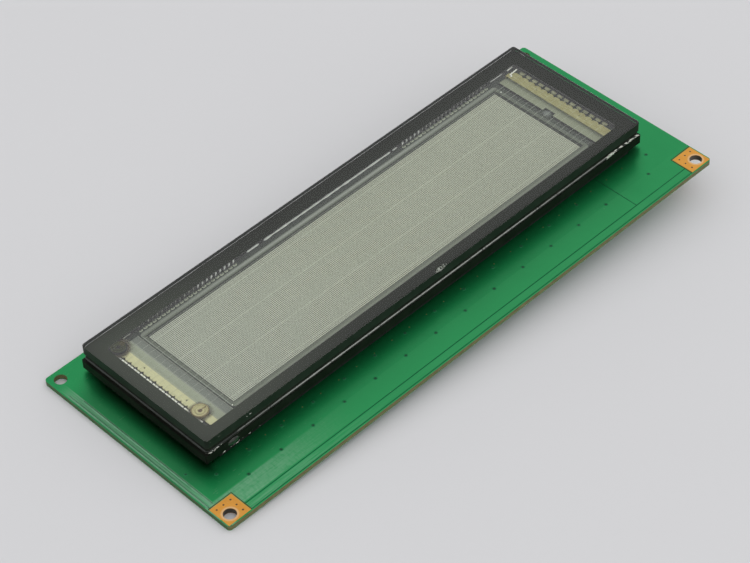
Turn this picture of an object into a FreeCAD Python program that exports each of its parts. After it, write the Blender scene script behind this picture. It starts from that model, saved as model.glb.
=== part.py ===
# Graphic vacuum fluorescent display module: a flat glass tube taped on a circuit board.
# Millimetres. X runs along the board, Y from its front edge to its back edge, Z up through the glass.
# The origin is under the middle of the board, level with the rim of the interface header.
import FreeCAD, Part
import math
import os

V = FreeCAD.Vector
X_AXIS, Y_AXIS, Z_AXIS = V(1, 0, 0), V(0, 1, 0), V(0, 0, 1)

# Dot field
dot_pitch = 0.5
dots_along = 256
dots_across = 64
anode_margin = 0.5
anode_thick = 0.05

# Tube outline, from the dot field outwards
window_end_space = 11.3
window_side_space = 3.3
window_border = 4.4
window_corner_radius = 0.6
base_overhang = 0.55
glass_corner_radius = 1.0
glass_corner_cut = 0.6
glass_chamfer = 0.35
base_chamfer = 0.25

# Tube layers, from the board upwards
tape_thick = 1.3
base_glass_thick = 2.7
lower_seal_thick = 0.3
spacer_height = 1.8
upper_seal_thick = 0.2
front_glass_thick = 3.0
seal_setback = 0.2
spacer_setback = 0.3
spacer_wall = 3.4
spacer_edge = 0.4

# Chip broken from the front long edge of the front glass: two shallow scoops
chip_from_middle = 1.8
chip_radius = 4.6
chip_depth = 0.8
tail_from_middle = -2.6
tail_radius = 16.0
tail_depth = 0.22

# Foam tape under the tube
tape_width = 8.0
tape_end_gap = 4.0
tape_side_gap = 0.5

# Films on the base glass between the grid and the filament supports
film_thick = 0.05
fanout_width = 2.4
film_gap = 0.1
film_side_gap = 0.6

# Control grid: a shallow tray over the dots with fine bars across it
grid_height = 0.55
grid_thick = 0.1
grid_opening_margin = 0.55
grid_end_rim = 1.1
grid_side_rim = 1.45
grid_corner_radius = 1.2
grid_bar_pitch = 8.0
grid_bar_width = 0.08
grid_lip_length = 8.0
grid_lips_per_side = 5

# Filament supports: a strip at each end with a hook for each wire
support_inset = 1.5
support_width = 2.9
support_thick = 0.25
support_height = 0.85
support_end_gap = 1.6
support_hole_diameter = 0.55
support_hole_offset = 8.0
support_corner_cut = 1.4
filament_count = 14
filament_pitch = 2.37
filament_diameter = 0.05
hook_neck_width = 0.7
hook_neck_length = 0.45
hook_rise = 0.25
hook_length = 0.8
hook_width = 1.6
hook_thick = 0.2
notch_width = 0.9
notch_depth = 0.55

# Ring getters, held just under the front glass
getter_diameter = 4.7
getter_thick = 0.45
getter_channel = 0.3
getter_hub_diameter = 1.5
getter_rim = 0.35
getter_wall_gap = 0.25
getter_top_gap = 0.2
getter_slot_width = 0.5
getter_leg_width = 0.7
getter_leg_thick = 0.15
getter_leg_offset = 0.75
getter_leg_gap = 0.1

# Exhaust hole in the base glass and the disc that seals it from below
exhaust_hole_diameter = 3.0
exhaust_inset = 7.55
exhaust_seal_diameter = 5.0
exhaust_seal_thick = 0.9
exhaust_boss_clearance = 0.1
exhaust_boss_height = 1.2

# Leads of the tube, bent down behind it and through the board
lead_pitch = 1.55
leads_per_group = 22
lead_group_inset = 0.1
lead_width = 0.5
lead_thick = 0.2
lead_inner_length = 0.9
lead_reach = 1.15
lead_bend = 0.35
lead_tail = 0.6
filament_lead_width = 0.8
filament_lead_pitch = 2.0

# Circuit board
board_end_margin = 9.55
board_front_margin = 17.75
board_back_margin = 4.85
board_thick = 1.6
board_corner_radius = 1.0
mount_hole_diameter = 3.5
mount_hole_inset = 3.0
pin_hole_clearance = 0.1

# Gold ground pads round the two front holes, on both faces
pad_side = 7.2
pad_edge_gap = 0.3
pad_thick = 0.05

# Interface header under the right end
header_height = 8.3
header_width = 8.9
header_wall = 1.0
header_floor = 2.4
header_end_margin = 5.1
header_pins_per_row = 10
header_pitch = 2.54
header_pin = 0.64
header_pin_recess = 0.8
header_key_width = 4.5
header_key_height = 4.5
header_end_distance = 15.0
pin_stub = 0.6

# Power wafer beside the header
power_pins = 3
power_pitch = 2.5
power_height = 6.4
power_width = 5.8
power_floor = 3.0
power_wall = 1.0
power_end_margin = 2.5
power_pin = 0.64
power_pin_recess = 0.6
power_from_right = 29.5
power_from_middle = 12.5

# Component lead frames and packages
package_standoff = 0.1
package_draft = 0.25
lead_frame_thick = 0.15
lead_foot = 0.6
controller_size = (14.0, 14.0, 2.6)
controller_pin_count = 16
controller_pitch = 0.8
controller_lead_width = 0.35
controller_reach = 1.4
controller_place = (102.0, 2.0)
memory_size = (13.0, 8.4, 2.3)
memory_pin_count = 10
memory_pitch = 1.27
memory_lead_width = 0.42
memory_reach = 1.6
memory_place = (80.0, 6.0)
logic_size = (9.9, 3.9, 1.45)
logic_pin_count = 8
logic_pitch = 1.27
logic_lead_width = 0.42
logic_reach = 1.05
logic_place = (126.0, 3.0)

# Crystal
crystal_length = 11.4
crystal_width = 4.7
crystal_height = 3.4
crystal_flange = 0.6
crystal_flange_thick = 0.4
crystal_place = (92.0, -12.5)

# Flyback transformer
core_length = 15.0
core_width = 15.0
core_height = 4.6
core_leg = 2.4
core_back = 2.6
core_centre_leg = 4.6
core_air_gap = 0.1
bobbin_rail_width = 2.2
bobbin_rail_height = 6.2
bobbin_rail_bevel = 0.45
bobbin_clearance = 0.15
winding_thick = 2.2
winding_bevel = 0.7
winding_clearance = 0.2
bobbin_pins_per_side = 4
bobbin_pin_pitch = 3.75
bobbin_pin = 0.6
transformer_from_right = 44.5
transformer_tape_gap = 0.7

# Electrolytic capacitors
capacitor_diameter = 8.0
capacitor_height = 6.1
capacitor_places = ((40.0, 18.5), (50.0, 18.5))
capacitor_base_thick = 0.8
capacitor_base_margin = 0.3
capacitor_base_corner = 1.6
capacitor_top_bevel = 0.4

# Shielded inductor
inductor_side = 8.0
inductor_height = 3.8
inductor_corner = 1.6
inductor_terminal_width = 2.4
inductor_terminal_length = 1.0
inductor_terminal_thick = 0.2
inductor_place = (71.0, -14.0)

# Switching transistors and rectifier diodes
transistor_size = (6.5, 6.1, 2.2)
transistor_skirt = 0.7
transistor_tab = (5.3, 1.2, 0.5)
transistor_lead_width = 0.8
transistor_lead_length = 2.6
transistor_lead_pitch = 4.6
transistor_places = ((60.5, -4.0), (60.5, 6.0))
diode_size = (4.3, 2.6, 2.1)
diode_end = 0.5
diode_end_thick = 0.2
diode_end_width = 1.5
diode_places = ((31.0, -12.0), (31.0, -5.0), (31.0, 2.0))

# Chip resistors and capacitors in rows: size, end cap, count, pitch and place of each row
chip_size = (1.6, 0.8, 0.5)
chip_cap_size = (1.6, 0.8, 0.75)
chip_end = 0.3
resistor_rows = ((7, 2.2, 106.0, 16.5), (5, 2.2, 108.0, -12.0))
capacitor_rows = ((5, 2.6, 82.0, 20.5), (4, 2.6, 80.0, -12.5))


# Sizes that follow from the driving ones
field_length = dots_along * dot_pitch
field_width = dots_across * dot_pitch
window_length = field_length + 2 * window_end_space
window_width = field_width + 2 * window_side_space
tube_length = window_length + 2 * window_border
tube_width = window_width + 2 * window_border
base_length = tube_length + 2 * base_overhang
inner_length = tube_length - 2 * (spacer_setback + spacer_wall)
inner_width = tube_width - 2 * (spacer_setback + spacer_wall)
board_length = tube_length + 2 * board_end_margin
board_width = board_front_margin + tube_width + board_back_margin
board_right = board_length / 2
board_front = -board_width / 2
tube_y = board_front + board_front_margin + tube_width / 2
tube_back = tube_y + tube_width / 2

board_low = header_height
board_top = board_low + board_thick
base_low = board_top + tape_thick
base_top = base_low + base_glass_thick
spacer_low = base_top + lower_seal_thick
spacer_top = spacer_low + spacer_height
front_low = spacer_top + upper_seal_thick
front_top = front_low + front_glass_thick


def box(length, width, height, x=0.0, y=0.0, z=0.0):
    """A box centred on x and y that stands on z."""
    return Part.makeBox(length, width, height, V(x - length / 2, y - width / 2, z))


def disc(diameter, height, x, y, z):
    return Part.makeCylinder(diameter / 2, height, V(x, y, z), Z_AXIS)


def upright_edges(shape):
    return [e for e in shape.Edges if len(e.Vertexes) == 2
            and abs(e.Vertexes[0].X - e.Vertexes[1].X) < 1e-6
            and abs(e.Vertexes[0].Y - e.Vertexes[1].Y) < 1e-6]


def rounded_box(length, width, height, radius, x=0.0, y=0.0, z=0.0):
    block = box(length, width, height, x, y, z)
    return block.makeFillet(radius, upright_edges(block))


def edges_at(shape, z):
    """The edges that lie wholly at height z."""
    return [e for e in shape.Edges if all(abs(v.Z - z) < 1e-6 for v in e.Vertexes)]


def prism(points, direction):
    """A flat outline through the points, drawn out along a vector."""
    return Part.Face(Part.makePolygon(points + [points[0]])).extrude(direction)


def holes(places, diameter, low, depth):
    """Drills of one diameter at the given x and y."""
    return Part.makeCompound([disc(diameter, depth, x, y, low) for x, y in places])


def fine_rod(diameter, start, along):
    """A six-sided rod, round enough for the finest wires and holes."""
    side = Y_AXIS if along.x else X_AXIS
    other = V(along).normalize().cross(side)
    turns = [math.radians(60 * k) for k in range(6)]
    return prism([start + side * (diameter / 2 * math.cos(a)) + other * (diameter / 2 * math.sin(a))
                  for a in turns], along)


def square_pins(places, side, low, high):
    return [box(side, side, high - low, x, y, low) for x, y in places]


def pin_holes(places, pin_width):
    """Holes through the board that clear a pin all round, four-sided to keep its faces few."""
    return Part.makeCompound(square_pins(places, pin_width + 2 * pin_hole_clearance, board_low, board_top))


def save(name, shape):
    shape.exportStep("parts/" + name + ".step")


# Places that more than one piece uses

def corner_places():
    """The four mounting holes, front pair first."""
    x = board_length / 2 - mount_hole_inset
    y = board_width / 2 - mount_hole_inset
    return [(-x, -y), (x, -y), (x, y), (-x, y)]


def lead_row_y():
    return tube_back + lead_reach - lead_thick / 2


def lead_places(side):
    """The x of each lead in the group on one side of the middle."""
    first = field_length / 2 - lead_group_inset
    return [side * (first - k * lead_pitch) for k in range(leads_per_group)]


def support_outer_x():
    """The outer edge of the filament supports, from the middle."""
    return window_length / 2 - support_inset


def support_inner_x():
    return support_outer_x() - support_width


def support_half_length():
    return inner_width / 2 - support_end_gap


def filament_lead_places():
    """The first lead of each pair meets the back leg of its filament support."""
    first = support_inner_x() + (support_width - support_corner_cut) / 2
    return [side * (first + k * filament_lead_pitch) for side in (-1, 1) for k in range(2)]


def filament_offsets():
    middle = (filament_count - 1) / 2
    return [(k - middle) * filament_pitch for k in range(filament_count)]


def header_x():
    return board_right - header_end_distance


def header_places():
    """The pins of the header, two rows along Y."""
    middle = (header_pins_per_row - 1) / 2
    return [(header_x() + side * header_pitch / 2, tube_y + (k - middle) * header_pitch)
            for side in (-1, 1) for k in range(header_pins_per_row)]


def power_places():
    middle = (power_pins - 1) / 2
    x = board_right - power_from_right
    return [(x + (k - middle) * power_pitch, power_from_middle) for k in range(power_pins)]


def bobbin_row():
    """How far each row of bobbin pins is from the middle of the transformer."""
    return core_width / 2 + bobbin_clearance + bobbin_rail_width / 2


def transformer_y():
    """The front row of pins comes up just behind the front foam tape."""
    tape_edge = tube_y - tube_width / 2 + tape_side_gap + tape_width
    return tape_edge + transformer_tape_gap + bobbin_pin / 2 + bobbin_row()


def bobbin_pin_places():
    x = board_right - transformer_from_right
    middle = (bobbin_pins_per_side - 1) / 2
    return [(x + (k - middle) * bobbin_pin_pitch, transformer_y() + side * bobbin_row())
            for side in (-1, 1) for k in range(bobbin_pins_per_side)]


def under_board(shape, from_right, y, turn=0.0):
    """Puts a component built upwards from z = 0 on the lower face of the board."""
    part = shape.copy()
    part.rotate(V(0, 0, 0), Z_AXIS, turn)
    part.rotate(V(0, 0, 0), X_AXIS, 180)
    part.translate(V(board_right - from_right, y, board_low))
    return part


def each_under_board(shape, places, turn=0.0):
    return Part.makeCompound([under_board(shape, x, y, turn) for x, y in places])


# The tube

def base_glass():
    plate = box(base_length, tube_width, base_glass_thick, 0, tube_y, base_low)
    plate = plate.makeChamfer(base_chamfer, upright_edges(plate))
    return plate.cut(disc(exhaust_hole_diameter, base_glass_thick, exhaust_x(), tube_y, base_low))


def exhaust_x():
    return window_length / 2 - exhaust_inset


def exhaust_seal():
    seal = disc(exhaust_seal_diameter, exhaust_seal_thick, exhaust_x(), tube_y, base_low - exhaust_seal_thick)
    boss = disc(exhaust_hole_diameter - 2 * exhaust_boss_clearance, exhaust_boss_height,
                exhaust_x(), tube_y, base_low)
    return seal.fuse(boss).removeSplitter()


def tube_block(setback, height, z):
    """A layer of the tube, set back from its outline, with its upright corners cut."""
    block = box(tube_length - 2 * setback, tube_width - 2 * setback, height, 0, tube_y, z)
    return block.makeChamfer(glass_corner_cut, upright_edges(block))


def lower_seal():
    """The sealing ring on the base glass, relieved over each group of leads."""
    seal = tube_block(seal_setback, lower_seal_thick, base_top)
    seal = seal.cut(box(inner_length, inner_width, lower_seal_thick, 0, tube_y, base_top))
    wall = tube_width / 2
    group = (leads_per_group - 1) * lead_pitch + lead_width
    reliefs = [box(group, wall, lead_thick, sum(lead_places(side)) / leads_per_group, tube_y + wall, base_top)
               for side in (-1, 1)]
    reliefs += [box(filament_lead_width, wall, lead_thick, x, tube_y + wall, base_top)
                for x in filament_lead_places()]
    return seal.cut(Part.makeCompound(reliefs))


def spacer_frame():
    """The side glass, with its outer edges melted back by the seals."""
    block = tube_block(spacer_setback, spacer_height, spacer_low)
    block = block.makeChamfer(spacer_edge, edges_at(block, spacer_low) + edges_at(block, spacer_top))
    return block.cut(box(inner_length, inner_width, spacer_height, 0, tube_y, spacer_low))


def upper_seal():
    """The dark ring under the front glass, which frames the window."""
    seal = tube_block(seal_setback, upper_seal_thick, spacer_top)
    return seal.cut(rounded_box(window_length, window_width, upper_seal_thick, window_corner_radius,
                                0, tube_y, spacer_top))


def scoop(x, radius, depth):
    """A ball that cuts a shallow shell-shaped flake from the front top edge."""
    reach = (radius - depth) / math.sqrt(2)
    return Part.makeSphere(radius, V(x, tube_y - tube_width / 2 - reach, front_top + reach))


def front_glass():
    plate = rounded_box(tube_length, tube_width, front_glass_thick, glass_corner_radius, 0, tube_y, front_low)
    plate = plate.makeChamfer(glass_chamfer, edges_at(plate, front_top))
    plate = plate.cut(scoop(chip_from_middle, chip_radius, chip_depth))
    return plate.cut(scoop(tail_from_middle, tail_radius, tail_depth))


def foam_tape():
    """Two strips, along the front and the back of the tube."""
    length = tube_length - 2 * tape_end_gap
    out = tube_width / 2 - tape_side_gap - tape_width / 2
    return Part.makeCompound([box(length, tape_width, tape_thick, 0, tube_y + side * out, board_top)
                              for side in (-1, 1)])


def anode_plate():
    return box(field_length + 2 * anode_margin, field_width + 2 * anode_margin, anode_thick,
               0, tube_y, base_top)


def grid_outer_length():
    return field_length + 2 * (grid_opening_margin + grid_end_rim)


def grid_outer_width():
    return field_width + 2 * (grid_opening_margin + grid_side_rim)


def wiring_films():
    """Pale films at both ends: the fan-out next to the grid, then the wide end film."""
    width = inner_width - 2 * film_side_gap
    fan_start = grid_outer_length() / 2 + film_gap
    end_start = fan_start + fanout_width + film_gap
    end_width = support_inner_x() - film_gap - end_start
    drill = disc(exhaust_hole_diameter, film_thick, exhaust_x(), tube_y, base_top)
    films = []
    for side in (-1, 1):
        fan = box(fanout_width, width, film_thick, side * (fan_start + fanout_width / 2), tube_y, base_top)
        end = box(end_width, width, film_thick, side * (end_start + end_width / 2), tube_y, base_top)
        films += [fan.cut(drill), end.cut(drill)]
    return Part.makeCompound(films)


def grid_bar_places():
    count = int((field_length - grid_bar_pitch / 2) // grid_bar_pitch)
    return [(k - (count - 1) / 2) * grid_bar_pitch for k in range(count)]


def control_grid():
    """A thin tray with a rim, fine bars across the dots and folded lips that stand on the glass."""
    length, width = grid_outer_length(), grid_outer_width()
    z = base_top + grid_height
    tray = rounded_box(length, width, grid_thick, grid_corner_radius, 0, tube_y, z)
    opening_length = field_length + 2 * grid_opening_margin
    opening_width = field_width + 2 * grid_opening_margin
    edges = [-opening_length / 2] + grid_bar_places() + [opening_length / 2]
    slots = []
    for k in range(len(edges) - 1):
        low = edges[k] + (grid_bar_width / 2 if k else 0)
        high = edges[k + 1] - (grid_bar_width / 2 if k < len(edges) - 2 else 0)
        slots.append(box(high - low, opening_width, grid_thick, (low + high) / 2, tube_y, z))
    tray = tray.cut(Part.makeCompound(slots))
    pitch = (length - 2 * grid_corner_radius - grid_lip_length) / (grid_lips_per_side - 1)
    middle = (grid_lips_per_side - 1) / 2
    lips = [box(grid_lip_length, grid_thick, grid_height, (k - middle) * pitch,
                tube_y + side * (width - grid_thick) / 2, base_top)
            for side in (-1, 1) for k in range(grid_lips_per_side)]
    return tray.multiFuse(lips).removeSplitter()


def hook(x, y, side, z):
    """A sloped neck out of the strip's edge with a raised tab that holds one wire."""
    out, up = hook_neck_length, hook_rise
    root = x - side * support_thick
    neck = [V(root, 0, z), V(x, 0, z), V(x + side * out, 0, z + up), V(x + side * out, 0, z + up + hook_thick),
            V(x, 0, z + support_thick), V(root, 0, z + support_thick)]
    neck = [p + V(0, y - hook_neck_width / 2, 0) for p in neck]
    tab = box(hook_length, hook_width, hook_thick, x + side * (out + hook_length / 2), y, z + up)
    return prism(neck, V(0, hook_neck_width, 0)).fuse(tab)


def support_strip(side):
    """One filament support: strip, end legs, hooks, notches between the hooks and two holes."""
    length = 2 * support_half_length()
    z = base_top + support_height
    outer = side * support_outer_x()
    middle = outer - side * support_width / 2
    strip = box(support_width, length, support_thick, middle, tube_y, z)
    for end in (-1, 1):
        leg = box(support_width, support_thick, support_height, middle,
                  tube_y + end * (length - support_thick) / 2, base_top)
        strip = strip.fuse(leg)
    cuts = [fine_rod(support_hole_diameter, V(middle, tube_y + end * support_hole_offset, z),
                     V(0, 0, support_thick)) for end in (-1, 1)]
    offsets = filament_offsets()
    for low, high in zip(offsets, offsets[1:]):
        y = tube_y + (low + high) / 2
        points = [V(outer, y - notch_width / 2, z), V(outer, y + notch_width / 2, z),
                  V(outer - side * notch_depth, y, z)]
        cuts.append(prism(points, V(0, 0, support_thick)))
    back = tube_y + length / 2
    corner = [V(outer, back, base_top), V(outer - side * support_corner_cut, back, base_top),
              V(outer, back - support_corner_cut, base_top)]
    cuts.append(prism(corner, V(0, 0, support_height + support_thick)))
    strip = strip.cut(Part.makeCompound(cuts))
    hooks = [hook(outer, tube_y + y, side, z) for y in offsets]
    return strip.multiFuse(hooks).removeSplitter()


def filament_wires():
    """Straight wires that lie on the hooks of both supports."""
    reach = support_outer_x() + hook_neck_length + hook_length / 2
    flat = filament_diameter / 2 * math.cos(math.radians(30))
    z = base_top + support_height + hook_rise + hook_thick + flat
    return Part.makeCompound([fine_rod(filament_diameter, V(-reach, tube_y + y, z), V(2 * reach, 0, 0))
                              for y in filament_offsets()])


def getter(y):
    """A ring-shaped pan with a channel and a slotted hub, on an arm and a leg beside the support."""
    x = getter_diameter / 2 + getter_wall_gap - inner_length / 2
    top = front_low - getter_top_gap
    low = top - getter_thick
    pan = disc(getter_diameter, getter_thick, x, y, low)
    channel = disc(getter_diameter - 2 * getter_rim, getter_channel, x, y, top - getter_channel)
    channel = channel.cut(disc(getter_hub_diameter, getter_channel, x, y, top - getter_channel))
    slot = box(getter_diameter / 2, getter_slot_width, getter_thick, x + getter_diameter / 4, y, low)
    pan = pan.cut(channel).cut(slot)
    leg_y = y - getter_leg_offset
    leg_x = getter_leg_gap + getter_leg_thick - support_inner_x()
    arm = box(leg_x - x, getter_leg_width, getter_leg_thick, (leg_x + x) / 2, leg_y, low - getter_leg_thick)
    foot = base_top + film_thick
    leg = box(getter_leg_thick, getter_leg_width, low - foot, leg_x - getter_leg_thick / 2, leg_y, foot)
    return pan.fuse(arm).fuse(leg).removeSplitter()


def getter_back_y():
    return tube_y + inner_width / 2 - getter_wall_gap - getter_diameter / 2


def getter_front_y():
    """Its leg stands midway between the two front wires."""
    return tube_y + sum(filament_offsets()[:2]) / 2 + getter_leg_offset


def lead(x, width, inner):
    """One flat lead: out of the tube along the base glass, then down through the board."""
    outer = tube_back + lead_reach
    low, top = base_top, base_top + lead_thick
    tip = board_low - lead_tail
    y1 = outer - lead_thick
    points = [V(x, inner, low), V(x, y1 - lead_bend, low), V(x, y1, low - lead_bend), V(x, y1, tip),
              V(x, outer, tip), V(x, outer, low - lead_bend + lead_thick / 2),
              V(x, y1 - lead_bend + lead_thick / 2, top), V(x, inner, top)]
    return prism([p - V(width / 2, 0, 0) for p in points], V(width, 0, 0))


def lead_group(side):
    inner = tube_y + inner_width / 2 - lead_inner_length
    return Part.makeCompound([lead(x, lead_width, inner) for x in lead_places(side)])


def filament_leads():
    inner = tube_y + support_half_length()
    return Part.makeCompound([lead(x, filament_lead_width, inner) for x in filament_lead_places()])


# The board

def circuit_board():
    board = rounded_box(board_length, board_width, board_thick, board_corner_radius, 0, 0, board_low)
    leads = [(x, lead_row_y()) for side in (-1, 1) for x in lead_places(side)]
    filaments = [(x, lead_row_y()) for x in filament_lead_places()]
    drills = [holes(corner_places(), mount_hole_diameter, board_low, board_thick),
              pin_holes(leads, lead_width), pin_holes(filaments, filament_lead_width),
              pin_holes(header_places(), header_pin), pin_holes(power_places(), power_pin),
              pin_holes(bobbin_pin_places(), bobbin_pin)]
    return board.cut(Part.makeCompound(drills))


def ground_pads():
    pads = []
    for side in (-1, 1):
        x = side * (board_length / 2 - pad_edge_gap - pad_side / 2)
        y = board_front + pad_edge_gap + pad_side / 2
        hole = [corner_places()[0] if side < 0 else corner_places()[1]]
        for z in (board_top, board_low - pad_thick):
            plate = box(pad_side, pad_side, pad_thick, x, y, z)
            pads.append(plate.cut(holes(hole, mount_hole_diameter, z, pad_thick)))
    return Part.makeCompound(pads)


# Connectors under the board

def header_shell():
    """An open box with its rim down, a thick floor round the pins and a keying slot."""
    length = (header_pins_per_row - 1) * header_pitch + 2 * header_end_margin
    shell = box(header_width, length, header_height, header_x(), tube_y, 0)
    cavity = box(header_width - 2 * header_wall, length - 2 * header_wall, header_height - header_floor,
                 header_x(), tube_y, 0)
    key = box(header_wall, header_key_width, header_key_height,
              header_x() - (header_width - header_wall) / 2, tube_y, 0)
    pins = square_pins(header_places(), header_pin, 0, header_height)
    return shell.cut(cavity).cut(key).cut(Part.makeCompound(pins))


def header_pins():
    return Part.makeCompound(square_pins(header_places(), header_pin, header_pin_recess, board_top + pin_stub))


def power_wafer():
    """A low block round the pins with one locking wall."""
    length = (power_pins - 1) * power_pitch + 2 * power_end_margin
    x = board_right - power_from_right
    low = board_low - power_floor
    block = box(length, power_width, power_floor, x, power_from_middle, low)
    wall = box(length, power_wall, power_height - power_floor, x,
               power_from_middle + (power_width - power_wall) / 2, board_low - power_height)
    pins = square_pins(power_places(), power_pin, low, board_low)
    return block.fuse(wall).removeSplitter().cut(Part.makeCompound(pins))


def power_pin_set():
    low = board_low - power_height + power_pin_recess
    return Part.makeCompound(square_pins(power_places(), power_pin, low, board_top + pin_stub))


# Packages with bent leads

def rectangle(length, width, z):
    x, y = length / 2, width / 2
    return Part.makePolygon([V(-x, -y, z), V(x, -y, z), V(x, y, z), V(-x, y, z), V(-x, -y, z)])


def package(size):
    """A moulded body, widest at its middle, where the mould parts."""
    length, width, height = size
    low, middle, top = package_standoff, package_standoff + height / 2, package_standoff + height
    return Part.makeLoft([rectangle(length - 2 * package_draft, width - 2 * package_draft, low),
                          rectangle(length, width, middle),
                          rectangle(length - 2 * package_draft, width - 2 * package_draft, top)], True, True)


def bent_lead(width, reach, middle):
    """One gull-wing lead that leaves the body at x = 0 and lands on z = 0."""
    t = lead_frame_thick
    foot = reach - lead_foot
    points = [V(0, 0, middle + t / 2), V(foot + t / 2, 0, t), V(reach, 0, t), V(reach, 0, 0),
              V(foot - t / 2, 0, 0), V(0, 0, middle - t / 2)]
    return prism([p - V(0, width / 2, 0) for p in points], V(0, width, 0))


def lead_row(count, pitch, width, reach, middle, edge, turn):
    """A row of leads along one side of a package."""
    row = []
    for k in range(count):
        one = bent_lead(width, reach, middle)
        one.translate(V(edge, (k - (count - 1) / 2) * pitch, 0))
        one.rotate(V(0, 0, 0), Z_AXIS, turn)
        row.append(one)
    return row


def package_leads(size, along, across, pitch, width, reach):
    """Leads on the long sides, and on the short sides where there are any."""
    length, depth, height = size
    middle = package_standoff + height / 2
    leads = []
    for turn in (90, 270):
        leads += lead_row(along, pitch, width, reach, middle, depth / 2, turn)
    for turn in (0, 180):
        leads += lead_row(across, pitch, width, reach, middle, length / 2, turn)
    return Part.makeCompound(leads)


# Power parts under the board

def oval(length, width, height, z):
    """An upright block with half-round ends."""
    ends = [disc(width, height, side * (length - width) / 2, 0, z) for side in (-1, 1)]
    return box(length - width, width, height, 0, 0, z).multiFuse(ends).removeSplitter()


def crystal_can():
    """An oval can on its flange."""
    flange = oval(crystal_length, crystal_width, crystal_flange_thick, 0)
    can = oval(crystal_length - 2 * crystal_flange, crystal_width - 2 * crystal_flange,
               crystal_height - crystal_flange_thick, crystal_flange_thick)
    return flange.fuse(can)


def core_z():
    """The lower side of the ferrite, above the board."""
    return (bobbin_rail_height - core_height) / 2


def core_half(side):
    """One E-shaped half: back, two outer legs and a shorter, thinner centre leg."""
    half = core_length / 2
    z = core_z()
    back = box(core_back, core_width, core_height, side * (half - core_back / 2), 0, z)
    for edge in (-1, 1):
        y = edge * (core_width - core_leg) / 2
        back = back.fuse(box(half, core_leg, core_height, side * half / 2, y, z))
    leg = box(half - core_air_gap, core_centre_leg, core_centre_height(),
              side * (half + core_air_gap) / 2, 0, z + (core_height - core_centre_height()) / 2)
    return back.fuse(leg).removeSplitter()


def core_centre_height():
    return core_height - 2 * bobbin_clearance - winding_clearance


def transformer_core():
    return Part.makeCompound([core_half(-1), core_half(1)])


def transformer_winding():
    """The taped coil round the centre leg, open along it."""
    length = core_length - 2 * (core_back + winding_clearance)
    width = core_width - 2 * (core_leg + winding_clearance)
    z = core_z() + core_height / 2
    height = min(bobbin_rail_height, core_centre_height() + winding_thick)
    coil = box(length, width, height, 0, 0, z - height / 2)
    coil = coil.makeChamfer(winding_bevel, [e for e in coil.Edges if e.BoundBox.XLength > length / 2])
    leg_width = core_centre_leg + 2 * bobbin_clearance
    leg_height = core_centre_height() + 2 * bobbin_clearance
    return coil.cut(box(length, leg_width, leg_height, 0, 0, z - leg_height / 2))


def transformer_bobbin():
    """Two rails beside the core that hold it and carry the pins."""
    rails = []
    for side in (-1, 1):
        rail = box(core_length, bobbin_rail_width, bobbin_rail_height, 0, side * bobbin_row())
        rails.append(rail.makeChamfer(bobbin_rail_bevel, edges_at(rail, bobbin_rail_height)))
    return Part.makeCompound(rails)


def transformer_pins():
    return Part.makeCompound(square_pins(bobbin_pin_places(), bobbin_pin, board_low, board_top + pin_stub))


def capacitor_can():
    """An aluminium can with a bevelled top, turned from its half section."""
    r, top, low, rim = capacitor_diameter / 2, capacitor_height, capacitor_base_thick, capacitor_top_bevel
    line = [V(0, 0, low), V(r, 0, low), V(r, 0, top - rim), V(r - rim, 0, top), V(0, 0, top)]
    return Part.Face(Part.makePolygon(line + [line[0]])).revolve(V(0, 0, 0), Z_AXIS, 360)


def capacitor_base():
    side = capacitor_diameter + 2 * capacitor_base_margin
    block = box(side, side, capacitor_base_thick)
    ends = [e for e in upright_edges(block) if e.Vertexes[0].X > 0]
    return block.makeChamfer(capacitor_base_corner, ends)


def inductor_core():
    """A square ferrite shield with cut corners, on its terminals."""
    block = box(inductor_side, inductor_side, inductor_height - inductor_terminal_thick,
                0, 0, inductor_terminal_thick)
    return block.makeChamfer(inductor_corner, upright_edges(block))


def inductor_terminals():
    out = (inductor_side - inductor_terminal_length) / 2
    return Part.makeCompound([box(inductor_terminal_length, inductor_terminal_width, inductor_terminal_thick,
                                  side * out, 0) for side in (-1, 1)])


def transistor_body():
    length, width, height = transistor_size
    slab = transistor_tab[2]
    return Part.makeLoft([rectangle(length, width, slab), rectangle(length, width, slab + transistor_skirt),
                          rectangle(length - 2 * package_draft, width - 2 * package_draft, height)], True, True)


def transistor_metal():
    """The tab under the body and its two outer leads."""
    length, width, height = transistor_size
    tab_width, tab_out, tab_thick = transistor_tab
    tab = box(tab_width, width + tab_out, tab_thick, 0, tab_out / 2)
    leads = [box(transistor_lead_width, transistor_lead_length, tab_thick, side * transistor_lead_pitch / 2,
                 -(width + transistor_lead_length) / 2) for side in (-1, 1)]
    return Part.makeCompound([tab] + leads)


def diode_body():
    length, width, height = diode_size
    return Part.makeLoft([rectangle(length - 2 * package_draft, width - package_draft, diode_end_thick),
                          rectangle(length, width, height / 2),
                          rectangle(length - 2 * package_draft, width - package_draft, height)], True, True)


def diode_ends():
    """A flat strap under each end of a diode."""
    length = diode_size[0]
    return Part.makeCompound([box(2 * diode_end + package_draft, diode_end_width, diode_end_thick,
                                  side * (length / 2 - package_draft), 0) for side in (-1, 1)])


def chip_body(size):
    return box(size[0] - 2 * chip_end, size[1], size[2])


def chip_ends(size):
    return Part.makeCompound([box(chip_end, size[1], size[2], side * (size[0] - chip_end) / 2)
                              for side in (-1, 1)])


def chip_rows(shape, rows):
    """Copies of one chip piece in rows along X, each chip turned across its row."""
    copies = []
    for count, pitch, from_right, y in rows:
        for k in range(count):
            copies.append(under_board(shape, from_right + (k - (count - 1) / 2) * pitch, y, 90))
    return copies


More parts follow.
